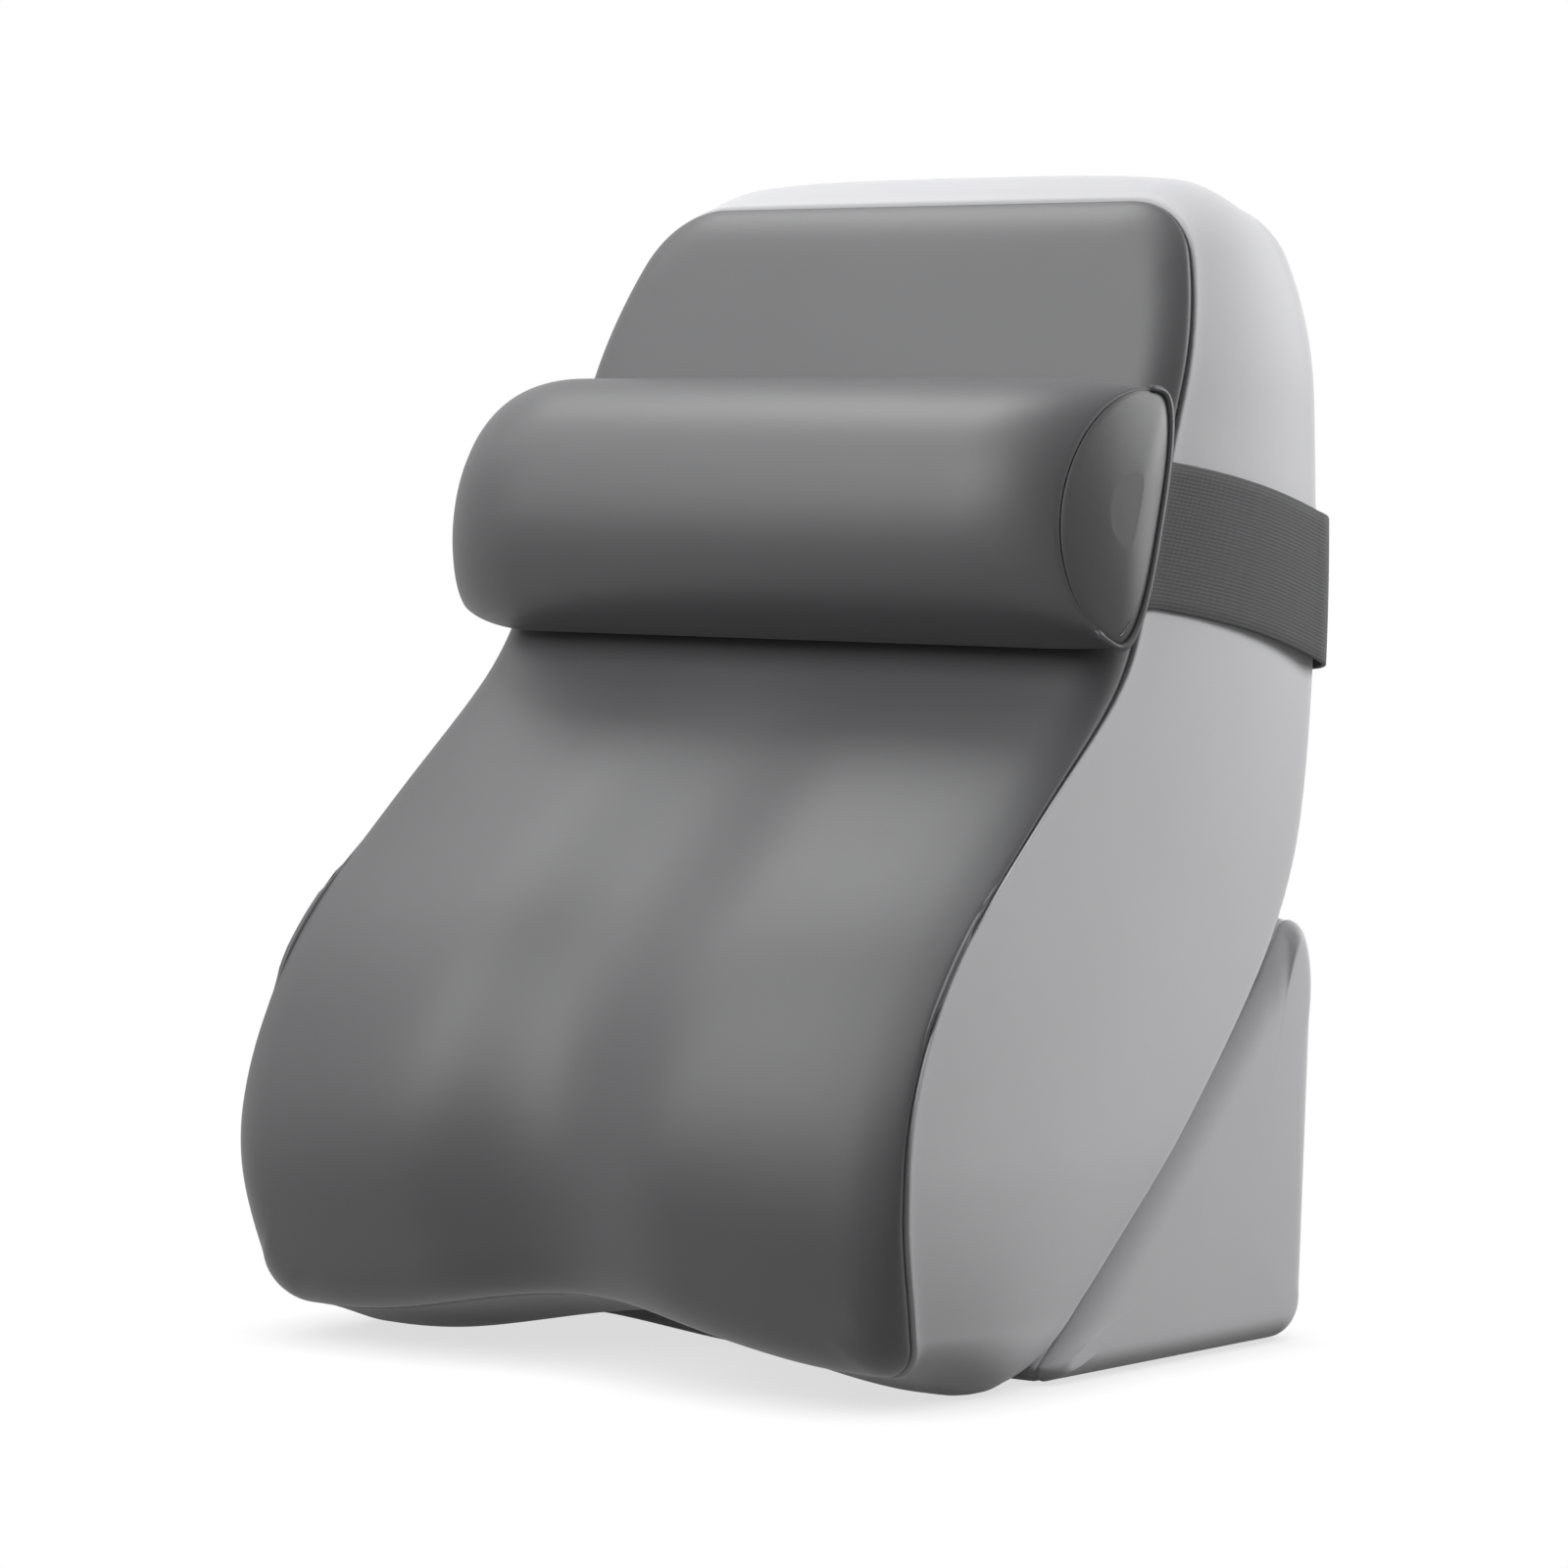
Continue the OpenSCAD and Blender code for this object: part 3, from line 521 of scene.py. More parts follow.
def roll_skin():
    skin = Skin()
    half = ROLL_LEN / 2

    def cap(way):
        for share in [0.3, 0.42, 0.55, 0.68, 0.8, 0.88, 0.94, 0.97, 0.985]:
            s = (1 - share) * CAP_R
            yield roll_ring(way, half + ROLL_CAP * (1 - share ** 2), ROLL_SEAM, share), half + s, seam_dip(s, 0.9, 2.2)

    def rounding(way):
        for a in [64.6, 62, 58, 52, 45, 37, 28, 18, 8, 0]:
            x = half - ROLL_END_W * (1 - sine(a) / sine(ROLL_SEAM))
            yield roll_ring(way, x, a), x, seam_dip(math.radians(ROLL_SEAM - a) * ROLL_END_W, 0.9, 2.2)

    for ring, run, dip in cap(-1):
        skin.add(ring, 0, -run, dip)
    skin.add(roll_ring(-1, half, ROLL_SEAM), 1, -half, -1.6, held=1)
    for ring, run, dip in rounding(-1):
        skin.add(ring, 1, -run, dip)
    left, right = roll_ring(-1, half - ROLL_END_W, 0), roll_ring(1, half - ROLL_END_W, 0)
    for t in np.linspace(0, 1, 29)[1:-1]:
        skin.add(lerp(left, right, t), 1, (2 * t - 1) * (half - ROLL_END_W))
    for ring, run, dip in reversed(list(rounding(1))):
        skin.add(ring, 1, run, dip)
    skin.add(roll_ring(1, half, ROLL_SEAM), 2, half, -1.6, held=1)
    for ring, run, dip in reversed(list(cap(1))):
        skin.add(ring, 2, run, dip)
    bm, ends = skin.tube()
    for end, number in zip(ends, (0, 2)):
        fill_grid(bm, end, ROLL_POINTS // 8, number)
    lay_flat(bm, [f for f in bm.faces if f.material_index != 1], 1, 2)
    return to_object(bm, "neck_roll_skin")


# ---------- Wedge skin ----------

WEDGE_W, WEDGE_H, WEDGE_EDGE, WEDGE_GAP = 436, 224, 15, 5.1
TIP_R, HEEL_R, CREST_W, CREST_H, REAR_LEAN, REAR_Y = 6, 22, 15, 36, 3.2, 351
CORNER_LIFT = 8        # how far the soft left end of the wedge's tip stands off the floor
WEDGE_MIDDLE = np.array([292.0, 72.0])


def rear_face_y(z):
    return REAR_Y + (z - HEEL_R) * math.tan(math.radians(REAR_LEAN))


def wedge_section():
    """The wedge's side outline as [y, z] points: tip, underside, heel, rear face, crest, front."""
    tip_low = TIP_R + TIP_R * sine(50)
    tip_y = float(back_y(tip_low)) + WEDGE_GAP + TIP_R * cosine(50)
    crest_z = WEDGE_H - CREST_H
    crest_y = rear_face_y(crest_z) - CREST_W

    def arc(y, z, a, b, first, last, count):
        t = lerp(first, last, np.arange(count) / count)
        return np.stack([y + a * cosine(t), z + b * sine(t)], 1)

    def straight(a, b, count):
        t = np.arange(count) / count
        return np.stack([lerp(a[0], b[0], t), lerp(a[1], b[1], t)], 1)

    crest_end = [crest_y + CREST_W * cosine(125), crest_z + CREST_H * sine(125)]
    z = lerp(crest_end[1], tip_low, np.arange(26) / 26)
    front = np.stack([back_y(z) + WEDGE_GAP, z], 1)
    front[0] = crest_end
    return np.concatenate([
        arc(tip_y, TIP_R, TIP_R, TIP_R, 130, 270, 12),
        straight([tip_y, 0], [REAR_Y - HEEL_R, 0], 30),
        arc(REAR_Y - HEEL_R, HEEL_R, HEEL_R, HEEL_R, 270, 360, 12),
        straight([REAR_Y, HEEL_R], [rear_face_y(crest_z), crest_z], 24),
        arc(crest_y, crest_z, CREST_W, CREST_H, 0, 125, 16), front])


def wedge_skin():
    section = wedge_section()
    skin = Skin()

    def ring(x, d, share=1.0):
        p = WEDGE_MIDDLE + (inset(section, WEDGE_MIDDLE, d) - WEDGE_MIDDLE) * share
        lift = CORNER_LIFT * ease((20 - x) / 130) * ease(1 - (p[:, 0] - section[:, 0].min()) / 90)
        return np.stack([np.full(len(p), x), p[:, 0], p[:, 1] + lift], 1)

    def side(way):
        for share in [0.05, 0.15, 0.3, 0.45, 0.6, 0.74, 0.87]:
            yield ring(way * WEDGE_W / 2, WEDGE_EDGE, share), (1 - share) * 80 + 24, 0
        for a in [90, 80, 70, 60, 50, 40, 30, 20, 11, 5, 2]:
            s = math.radians(a) * WEDGE_EDGE
            yield (ring(way * (WEDGE_W / 2 - WEDGE_EDGE * (1 - sine(a))), WEDGE_EDGE * (1 - cosine(a))),
                   s, seam_dip(s, 0.8, 1.8))

    sewn_x = WEDGE_W / 2 - WEDGE_EDGE
    for points, s, dip in side(1):
        skin.add(points, 0, sewn_x + s, dip)
    skin.add(ring(sewn_x, 0), 1, sewn_x, -1, held=1)
    for x in np.concatenate([[sewn_x - 1.2, sewn_x - 3], np.linspace(sewn_x - 8, 8 - sewn_x, 40),
                             [3 - sewn_x, 1.2 - sewn_x]]):
        skin.add(ring(x, 0), 1, x, seam_dip(sewn_x - abs(x), 0.8, 1.8))
    skin.add(ring(-sewn_x, 0), 2, -sewn_x, -1, held=1)
    for points, s, dip in reversed(list(side(-1))):
        skin.add(points, 2, -sewn_x - s, dip)
    bm, ends = skin.tube()
    for end, number in zip(ends, (0, 2)):
        edges = [bm.edges.get((end[i - 1], end[i])) for i in range(len(end))]
        face = bmesh.ops.edgeloop_fill(bm, edges=edges, mat_nr=number)["faces"][0]
        centre = bmesh.ops.poke(bm, faces=[face])["verts"][0]
        centre.co = in_metres([centre.co.x / MM, *WEDGE_MIDDLE])
    lay_flat(bm, [f for f in bm.faces if f.material_index != 1], 1, 2)
    return to_object(bm, "wedge_skin")


# ---------- Zip openings ----------

SLOT_HALF, SLOT_MORE = 6.2, 1      # half width of an opening, and its length past the zip's ends


class ZipPlace:
    """Where a zip lies on the cover: its middle, the way up across it, and its length."""

    def __init__(self, y, z, slope, length):
        self.middle = Vector(in_metres([0, y, z]))
        self.up = Vector((0, slope, 1)).normalized()
        self.out = Vector((0, 1, -slope)).normalized()
        self.half = (length / 2 + SLOT_MORE) * MM

    def across(self, places):
        return (np.asarray(places) - self.middle) @ np.array(self.up)

    def hold(self, mesh):
        """How firmly the cloth beside the opening is held: it lies flat there on its tape."""
        co, out = per_point(mesh, "places"), per_point(mesh, "normals")
        near = np.hypot(np.maximum(np.abs(self.across(co)) - 0.014, 0),
                        np.maximum(np.abs(co[:, 0]) - self.half - 0.006, 0))
        return np.where(out @ np.array(self.out) > 0.5, 1 - ease(near / 0.03), 0)

    def cut(self, obj):
        """Cuts the opening, with its edge folded under along a narrow lip."""
        bm = copy_of(obj)
        half = SLOT_HALF * MM
        lines = [(self.middle + self.up * d * side, self.up)
                 for side in (-1, 1) for d in (half, half + 0.0016, half + 0.005)]
        lines += [(Vector((side * (self.half + d), 0, 0)), Vector((1, 0, 0)))
                  for side in (-1, 1) for d in (0, 0.0016, 0.005)]
        for place, normal in lines:
            close = [f for f in bm.faces if self._near(f.calc_center_median(), 0.03)]
            bmesh.ops.bisect_plane(bm, geom=close + list({e for f in close for e in f.edges})
                                   + list({v for f in close for v in f.verts}),
                                   dist=1e-6, plane_co=place, plane_no=normal)
        inside = [f for f in bm.faces if self._near(f.calc_center_median(), -1e-5)]
        bmesh.ops.delete(bm, geom=inside, context="FACES")
        for v in bm.verts:
            if self._near(v.co, 0.004):
                v.co += self.out * (-0.0007 if v.is_boundary else 0.0004)
        bm.to_mesh(obj.data)
        bm.free()
        return obj

    def _near(self, p, more):
        d = p - self.middle
        return (abs(d.dot(self.up)) < SLOT_HALF * MM + more and abs(d.x) < self.half + more
                and abs(d.dot(self.out)) < 0.02)


def slope_at(f, z):
    return float(f(z + 5) - f(z - 5)) / 10


back_zip = ZipPlace(float(back_y(300)), 300, slope_at(back_y, 300), 352)
wedge_zip = ZipPlace(rear_face_y(62), 62, math.tan(math.radians(REAR_LEAN)), 320)


# ---------- Strap ----------

STRAP_T, STRAP_W, STRAP_GAP, STRAP_STAND, STRAP_X, STRAP_FROM = 2.4, 78, 0.8, 3.2, 211, 218


def side_x(y, z):
    """Side of the backrest at depth y and height z."""
    a, b = front_y(z) + edge_at(z), back_y(z) - back_r(z)
    return half_w(z) + SIDE_SWELL * sine(180 * np.clip((y - a) / (b - a), 0, 1))


def strap_line(v):
    """The strap's inner face along one thread, v from -0.5 at its lower edge to 0.5."""
    def height(y):
        return 426 - 0.155 * (y - 238) - 0.00056 * np.maximum(y - 238, 0) ** 2 + STRAP_W * v

    z0 = height(front_y(ROLL_Z))
    points = [[STRAP_X, front_y(z0) - (ROLL_GAP + 0.5) / math.cos(LEAN), z0]]
    for t in np.arange(25) / 24:
        z = height(lerp(STRAP_FROM, back_y(400) - back_r(400), t))
        y = lerp(STRAP_FROM, back_y(z) - back_r(z), t)
        points.append([side_x(y, z) + lerp(STRAP_GAP, STRAP_STAND, t), y, z])
    for a in np.arange(1, 13) * 7.5:
        z = height(back_y(400) - back_r(400) * (1 - sine(a)))
        r, d = back_r(z), STRAP_STAND
        points.append([half_w(z) - r + (r + d) * cosine(a), back_y(z) - r + (r + d) * sine(a), z])
    z = height(back_y(400))
    for s in 1 - np.arange(1, 13) / 12:
        points.append([s * (half_w(z) - back_r(z)), back_y(z) + STRAP_STAND, z])
    half = np.array(points, float)
    return np.concatenate([half, (half * [-1, 1, 1])[-2::-1]])


def strap():
    """Wide woven elastic, sewn to the roll's flat back at both ends."""
    across = 12
    lines = [strap_line(k / across - 0.5) for k in range(across + 1)]
    count = len(lines[0])
    bm = bmesh.new()
    bmesh.ops.create_grid(bm, x_segments=count - 1, y_segments=across, size=1)
    uv = bm.loops.layers.uv.new("cloth")
    middle = lines[across // 2]
    along = np.concatenate([[0], np.cumsum(np.linalg.norm(np.diff(middle, axis=0), axis=1))])
    for f in bm.faces:
        for loop in f.loops:
            i, k = (round((loop.vert.co.x + 1) / 2 * (count - 1)), round((loop.vert.co.y + 1) / 2 * across))
            loop[uv].uv = along[i] * MM, k / across * STRAP_W * MM
    for v in bm.verts:
        i, k = round((v.co.x + 1) / 2 * (count - 1)), round((v.co.y + 1) / 2 * across)
        v.co = in_metres(lines[k][i])
    obj = to_object(bm, "elastic_strap")
    # The grid's own outside is away from the backrest
    middle_point = obj.data.polygons[len(obj.data.polygons) // 2]
    if middle_point.normal.y < 0:
        obj.data.flip_normals()
    solid = obj.modifiers.new("Thickness", "SOLIDIFY")
    solid.thickness, solid.offset = STRAP_T * MM, 1
    bevel = obj.modifiers.new("Edge", "BEVEL")
    bevel.width, bevel.segments, bevel.limit_method = 0.0008, 2, "ANGLE"
    return obj


# ---------- Hook-and-loop strips ----------

STRIP_X, STRIP_W, STRIP_LOW, STRIP_HIGH, STRIP_T = 115, 40, 70, 190, 2
LOOP_OFF, HOOK_OFF = 0.2, 2.9      # in depth, from the backrest's back face


def grip_strips(name, off):
    """Two upright strips with rounded corners, curved with the backrest's back."""
    bm = bmesh.new()
    for side in (-1, 1):
        made = bmesh.ops.create_grid(bm, x_segments=1, y_segments=1, size=1)["verts"]
        for v in made:
            v.co = (side * STRIP_X + v.co.x * STRIP_W / 2, 0,
                    (STRIP_LOW + STRIP_HIGH) / 2 + v.co.y * (STRIP_HIGH - STRIP_LOW) / 2)
    bmesh.ops.bevel(bm, geom=bm.verts[:], offset=4, affect="VERTICES", segments=4, profile=0.5, material=-1)
    for z in np.linspace(STRIP_LOW, STRIP_HIGH, 25)[1:-1]:
        bmesh.ops.bisect_plane(bm, geom=bm.verts[:] + bm.edges[:] + bm.faces[:], dist=1e-4,
                               plane_co=(0, 0, z), plane_no=(0, 0, 1))
    for v in bm.verts:
        v.co = in_metres([v.co.x, float(back_y(v.co.z)) + off + STRIP_T / 2, v.co.z])
    obj = to_object(bm, name)
    solid = obj.modifiers.new("Thickness", "SOLIDIFY")
    solid.thickness, solid.offset = (STRIP_T - 0.2) * MM, 0
    bevel = obj.modifiers.new("Edge", "BEVEL")
    bevel.width, bevel.segments, bevel.limit_method = 0.0004, 2, "ANGLE"
    return obj


# ---------- Materials ----------

def linear(code):
    """An sRGB hex colour as linear RGBA."""
    rgb = [int(code[i:i + 2], 16) / 255 for i in (1, 3, 5)]
    return [c / 12.92 if c <= 0.04045 else ((c + 0.055) / 1.055) ** 2.4 for c in rgb] + [1]


def node(tree, kind, links=None, inputs=None, **settings):
    """Adds a node with its settings, its input values and the links into it."""
    n = tree.nodes.new("ShaderNode" + kind)
    for key, value in settings.items():
        setattr(n, key, value)
    for key, value in (inputs or {}).items():
        n.inputs[key].default_value = value
    for key, source in (links or {}).items():
        tree.links.new(source, n.inputs[key])
    return n


def finish(name, **values):
    """A new material, its nodes, and its shader with these values on its own sockets."""
    m = bpy.data.materials.new(name)
    m.use_nodes = True
    shader = m.node_tree.nodes["Principled BSDF"]
    for key, value in values.items():
        shader.inputs[key.replace("_", " ")].default_value = value
    return m, m.node_tree, shader


def bands(tree, place, direction, pitch):
    """Even ribs of a real pitch in metres, as a height from 0 to 1."""
    return node(tree, "TexWave", {"Vector": place}, {"Scale": 2 * math.pi / pitch / 20, "Distortion": 0},
                wave_type="BANDS", bands_direction=direction, wave_profile="SIN").outputs["Fac"]


def blend_colours(tree, factor, one, other):
    mix = node(tree, "Mix", {"Factor": factor}, data_type="RGBA")
    colours = [i for i in mix.inputs if i.type == "RGBA"]
    colours[0].default_value, colours[1].default_value = linear(one), linear(other)
    return [o for o in mix.outputs if o.type == "RGBA"][0]


def knit(name, colour, shade, roughness, sheen, depth):
    """Warp-knit polyester, brushed once, smooth and matt: stitches 1.5 mm wide and 1.1 mm high.

    To the eye an even cloth with a soft bloom where it turns away, and close to, fine columns
    of stitches with a little fuzz on them.
    """
    m, t, shader = finish(name, Roughness=roughness, Sheen_Weight=sheen, Sheen_Roughness=0.45)
    place = node(t, "UVMap", uv_map="cloth").outputs["UV"]
    stitches = node(t, "Math", {0: bands(t, place, "X", 0.0015), 1: bands(t, place, "Y", 0.0011)},
                    operation="MULTIPLY").outputs[0]
    where = node(t, "TexCoord").outputs["Object"]
    patches = node(t, "TexNoise", {"Vector": where}, {"Scale": 9, "Detail": 3, "Roughness": 0.5})
    fuzz = node(t, "TexNoise", {"Vector": where}, {"Scale": 900, "Detail": 2, "Roughness": 0.6})
    spread = node(t, "MapRange", {"Value": patches.outputs["Fac"]}, {"From Min": 0.3, "From Max": 0.7})
    height = node(t, "Math", {0: stitches, 1: fuzz.outputs["Fac"]}, operation="ADD").outputs[0]
    ridge = node(t, "Bump", {"Height": height}, {"Strength": depth, "Distance": 0.0002})
    t.links.new(blend_colours(t, spread.outputs["Result"], colour, shade), shader.inputs["Base Color"])
    t.links.new(ridge.outputs["Normal"], shader.inputs["Normal"])
    return m


def elastic():
    """Woven polyester elastic, dark grey: raised ribs 2 mm apart run along it, crossed by a fine weft."""
    m, t, shader = finish("woven_elastic", Roughness=0.7, Sheen_Weight=0.15, Sheen_Roughness=0.4)
    place = node(t, "UVMap", uv_map="cloth").outputs["UV"]
    ribs, weft = bands(t, place, "Y", 0.002), bands(t, place, "X", 0.0009)
    height = node(t, "Math", {0: ribs, 1: weft}, {2: 0.0}, operation="ADD").outputs[0]
    ridge = node(t, "Bump", {"Height": height}, {"Strength": 0.3, "Distance": 0.0003})
    t.links.new(blend_colours(t, ribs, "#2D2D2F", "#363638"), shader.inputs["Base Color"])
    t.links.new(ridge.outputs["Normal"], shader.inputs["Normal"])
    return m


def pile(name, colour, shade, pitch):
    """Nylon hook-and-loop: a dense field of small loops or hooks, matt with a slight glint."""
    m, t, shader = finish(name, Roughness=0.6, Sheen_Weight=0.2, Sheen_Roughness=0.5)
    where = node(t, "TexCoord").outputs["Object"]
    cells = node(t, "TexVoronoi", {"Vector": where}, {"Scale": 1 / pitch}).outputs["Distance"]
    ridge = node(t, "Bump", {"Height": cells}, {"Strength": 0.9, "Distance": 0.0006})
    t.links.new(blend_colours(t, cells, colour, shade), shader.inputs["Base Color"])
    t.links.new(ridge.outputs["Normal"], shader.inputs["Normal"])
    return m


def zip_tape():
    """Woven polyester zip tape: a fine twill whose diagonal lines are 1 mm apart."""
    m, t, shader = finish("twill_tape", Roughness=0.8, Sheen_Weight=0.1)
    where = node(t, "TexCoord").outputs["Object"]
    turned = node(t, "Mapping", {"Vector": where}, {"Rotation": (0, math.radians(45), 0)}).outputs["Vector"]
    twill = bands(t, turned, "X", 0.001)
    ridge = node(t, "Bump", {"Height": twill}, {"Strength": 0.4, "Distance": 0.0002})
    t.links.new(blend_colours(t, twill, "#8C8C90", "#97979B"), shader.inputs["Base Color"])
    t.links.new(ridge.outputs["Normal"], shader.inputs["Normal"])
    return m


def nylon():
    """Moulded nylon zip teeth: mid grey, satin, a little lighter where they rub."""
    m, t, shader = finish("moulded_nylon", Roughness=0.42)
    where = node(t, "TexCoord").outputs["Object"]
    wear = node(t, "TexNoise", {"Vector": where}, {"Scale": 220, "Detail": 2}).outputs["Fac"]
    t.links.new(blend_colours(t, wear, "#7C7C80", "#8E8E92"), shader.inputs["Base Color"])
    ridge = node(t, "Bump", {"Height": wear}, {"Strength": 0.1, "Distance": 0.0002})
    t.links.new(ridge.outputs["Normal"], shader.inputs["Normal"])
    return m


def zinc():
    """Die-cast zinc zip hardware, tumbled and lacquered grey: soft metal gloss with faint pitting."""
    m, t, shader = finish("lacquered_zinc", Metallic=1.0, Roughness=0.34)
    where = node(t, "TexCoord").outputs["Object"]
    pits = node(t, "TexNoise", {"Vector": where}, {"Scale": 700, "Detail": 3}).outputs["Fac"]
    t.links.new(blend_colours(t, pits, "#8E8E92", "#A2A2A6"), shader.inputs["Base Color"])
    ridge = node(t, "Bump", {"Height": pits}, {"Strength": 0.12, "Distance": 0.0002})
    t.links.new(ridge.outputs["Normal"], shader.inputs["Normal"])
    return m


def foam():
    """Open-cell polyurethane foam, cream white: cells of about 1 mm make it look fine and dry."""
    m, t, shader = finish("open_cell_foam", Roughness=0.95)
    where = node(t, "TexCoord").outputs["Object"]
    cells = node(t, "TexVoronoi", {"Vector": where}, {"Scale": 900}).outputs["Distance"]
    ridge = node(t, "Bump", {"Height": cells}, {"Strength": 0.6, "Distance": 0.0004})
    t.links.new(blend_colours(t, cells, "#D8D2BC", "#F0EBD8"), shader.inputs["Base Color"])
    t.links.new(ridge.outputs["Normal"], shader.inputs["Normal"])
    return m


DARK_COLOUR, DARK_SHADE = "#4D4D4F", "#4A4A4C"
dark_knit = knit("dark_warp_knit", DARK_COLOUR, DARK_SHADE, 0.46, 0.05, 0.08)
light_knit = knit("light_warp_knit", "#D3D3D5", "#D0D0D2", 0.75, 0.10, 0.12)
strap_elastic, foam_cells = elastic(), foam()
loop_pile, hook_pile = pile("loop_pile", "#48484A", "#5A5A5C", 0.0009), pile("hook_pile", "#3E3E40", "#505052", 0.0013)
tape_twill, teeth_nylon, slider_zinc = zip_tape(), nylon(), zinc()


# ---------- Assembly ----------

def dress(obj, material, slot, body, *replaced, fill=None):
    """Gives a piece its cloth, its body and the CAD nodes that it stands for."""
    obj.data.materials.clear()
    obj.data.materials.append(material)
    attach(obj, body)
    if replaced:
        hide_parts(*replaced)
    return obj


skin = backrest_skin()
core = foam_core(skin, "backrest_foam_core")
crown(skin, np.maximum(per_point(skin.data, "held"), back_zip.hold(skin.data)), 0.0015)
seamed(skin)
front = with_thickness(panel(skin, 0, "backrest_front_panel"))
gusset = with_thickness(panel(skin, 1, "backrest_gusset"))
back = with_thickness(back_zip.cut(panel(skin, 2, "backrest_back_panel")))
take_apart(skin)
dress(front, dark_knit, "dark_knit", "backrest", "backrest_front_cover", fill=0.85)
dress(gusset, light_knit, "light_knit", "backrest", "backrest_gusset_cover", fill=0.85)
dress(back, light_knit, "light_knit", "backrest", "backrest_back_cover", fill=0.85)
dress(core, foam_cells, "foam", "backrest", "backrest_foam", fill=0.95)

skin = roll_skin()
core = foam_core(skin, "neck_roll_foam_core")
crown(skin, per_point(skin.data, "held"), 0.0015)
seamed(skin)
roll_tube = with_thickness(panel(skin, 1, "neck_roll_tube"))
roll_caps = [with_thickness(panel(skin, 0, "neck_roll_cap_left")), with_thickness(panel(skin, 2, "neck_roll_cap_right"))]
take_apart(skin)
dress(roll_tube, dark_knit, "dark_knit", "neck_roll", "roll_tube_cover", fill=0.8)
dress(roll_caps[0], dark_knit, "dark_knit", "neck_roll", "roll_end_cap_left", fill=0.8)
dress(roll_caps[1], dark_knit, "dark_knit", "neck_roll", "roll_end_cap_right", fill=0.8)
dress(core, foam_cells, "foam", "neck_roll", "roll_foam", fill=0.9)

skin = wedge_skin()
core = foam_core(skin, "wedge_foam_core")
crown(skin, np.maximum(per_point(skin.data, "held"), wedge_zip.hold(skin.data)), 0.0012)
seamed(skin)
wrap = with_thickness(wedge_zip.cut(panel(skin, 1, "wedge_wrap")))
wedge_sides = [with_thickness(panel(skin, 0, "wedge_side_panel_right")), with_thickness(panel(skin, 2, "wedge_side_panel_left"))]
take_apart(skin)
dress(wrap, light_knit, "light_knit", "wedge", "wedge_wrap_cover", fill=0.85)
dress(wedge_sides[0], light_knit, "light_knit", "wedge", "wedge_side_right", fill=0.85)
dress(wedge_sides[1], light_knit, "light_knit", "wedge", "wedge_side_left", fill=0.85)
dress(core, foam_cells, "foam", "wedge", "wedge_foam", fill=0.95)

# The roll's elastic strap, on the roll's body, with a mesh of its own
band = dress(strap(), strap_elastic, "elastic", "neck_roll", "roll_strap")
in_metres([0, STRAP_FROM, ROLL_Z])
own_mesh(band)
dress(grip_strips("loop_strips", LOOP_OFF), loop_pile, "grip", "backrest", "backrest_loop_strips")
dress(grip_strips("hook_strips", HOOK_OFF), hook_pile, "grip", "wedge", "wedge_hook_strips")

for name, material in {
    "backrest_zip_tapes": tape_twill, "wedge_zip_tapes": tape_twill,
    "backrest_zip_chain": teeth_nylon, "wedge_zip_chain": teeth_nylon,
    "backrest_zip_slider": slider_zinc, "wedge_zip_slider": slider_zinc,
    "backrest_zip_pull": slider_zinc, "wedge_zip_pull": slider_zinc,
}.items():
    for place in nodes[name].material_slots:
        place.material = material

# ---------- Camera, floor and light ----------

camera = bpy.data.objects.new("camera", bpy.data.cameras.new("camera"))
scene.collection.objects.link(camera)
camera.data.lens, camera.data.sensor_width = 143.5, 36
camera.data.clip_start, camera.data.clip_end = 0.1, 100
camera.location = 2.12973, -2.52691, 0.50570
camera.rotation_euler = math.radians(90 - 3.67), 0, math.radians(40.2)
scene.camera = camera
scene.view_settings.view_transform = "Standard"


MIDDLE, LAMP_DISTANCE = Vector((0, 0, 0.3)), 2.6
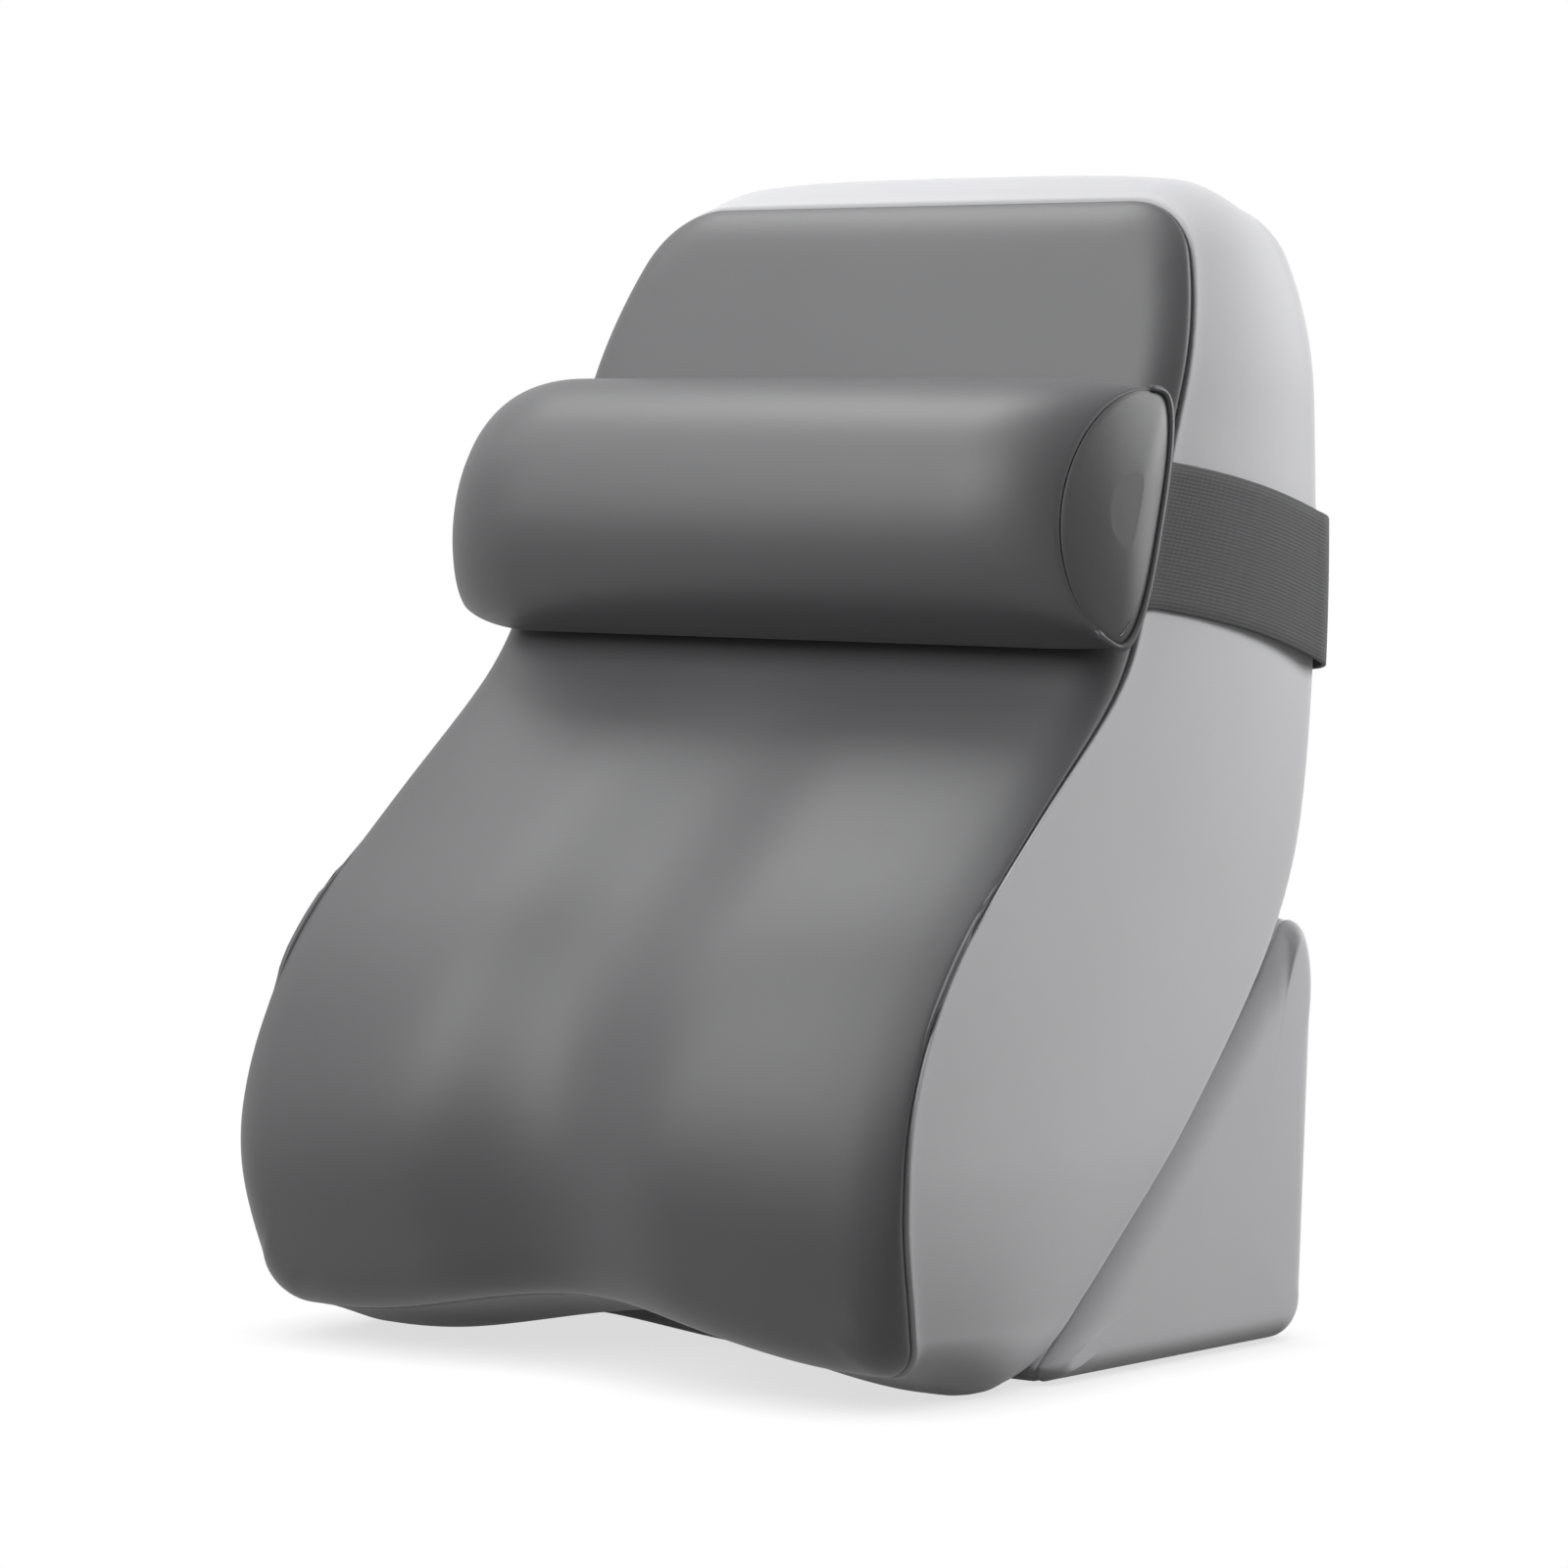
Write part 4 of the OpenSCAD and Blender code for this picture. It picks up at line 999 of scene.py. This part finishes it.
# Round soft lamps: degrees round from straight in front towards the right, degrees up, width, watts
LAMPS = {
    "left_high": (-95, 60, 1.1, 25.5),
    "left": (-75, 40, 1.1, 5.5),
    "front_high": (-45, 55, 1.4, 8.5),
    "front": (-26, 35, 1.6, 35.5),
    "front_low": (-33, 13, 1.2, 10),
    "right": (110, 20, 1.1, 2.4),
    "back_right_high": (130, 40, 1.1, 27.5),
    "back_right_low": (150, 18, 1.1, 30),
}
for name, (around, up, size, power) in LAMPS.items():
    light = bpy.data.lights.new(name, "AREA")
    light.shape, light.size, light.energy = "DISK", size, power
    way = Vector((float(sine(around) * cosine(up)), float(-cosine(around) * cosine(up)), float(sine(up))))
    obj = bpy.data.objects.new(name, light)
    scene.collection.objects.link(obj)
    obj.location = MIDDLE + way * LAMP_DISTANCE
    obj.rotation_euler = way.to_track_quat("Z", "Y").to_euler()

AMBIENT = 0.02


def seen(tree):
    """1 where the camera, gloss or glass sees a thing, 0 for the light that it gives off."""
    path = node(tree, "LightPath").outputs
    either = node(tree, "Math", {0: path["Is Camera Ray"], 1: path["Is Glossy Ray"]}, operation="MAXIMUM")
    return node(tree, "Math", {0: either.outputs[0], 1: path["Is Transmission Ray"]}, operation="MAXIMUM").outputs[0]


world = bpy.data.worlds.new("studio")
scene.world = world
world.use_nodes = True
tree = world.node_tree
tree.nodes["Background"].inputs["Color"].default_value = (1, 1, 1, 1)
strength = node(tree, "MapRange", {"Value": seen(tree)}, {"To Min": AMBIENT, "To Max": 1.0}).outputs["Result"]
tree.links.new(strength, tree.nodes["Background"].inputs["Strength"])

# The floor is pale grey to the light and white to the eye, with a painted shadow close under the cushion
bm = bmesh.new()
bmesh.ops.create_grid(bm, x_segments=1, y_segments=1, size=30)
floor = to_object(bm, "floor")
pale, tree, shader = finish("pale_floor", Roughness=0.9)
shader.inputs["Base Color"].default_value = linear("#707070")
# Painted shadow: ambient occlusion darkens the floor's white glow close under the cushion, as the eye sees no real
# shadow
near = node(tree, "AmbientOcclusion", {}, {"Distance": 0.06}, samples=16).outputs["AO"]
painted_floor_shadow = node(tree, "MapRange", {"Value": near}, {"From Min": 0.1, "From Max": 0.8, "To Min": 0.7, "To Max": 1.0})
glow = node(tree, "Emission", {"Strength": painted_floor_shadow.outputs["Result"]})
both = node(tree, "MixShader", {"Fac": seen(tree), 1: shader.outputs["BSDF"], 2: glow.outputs["Emission"]})
tree.links.new(both.outputs["Shader"], tree.nodes["Material Output"].inputs["Surface"])
floor.data.materials.append(pale)
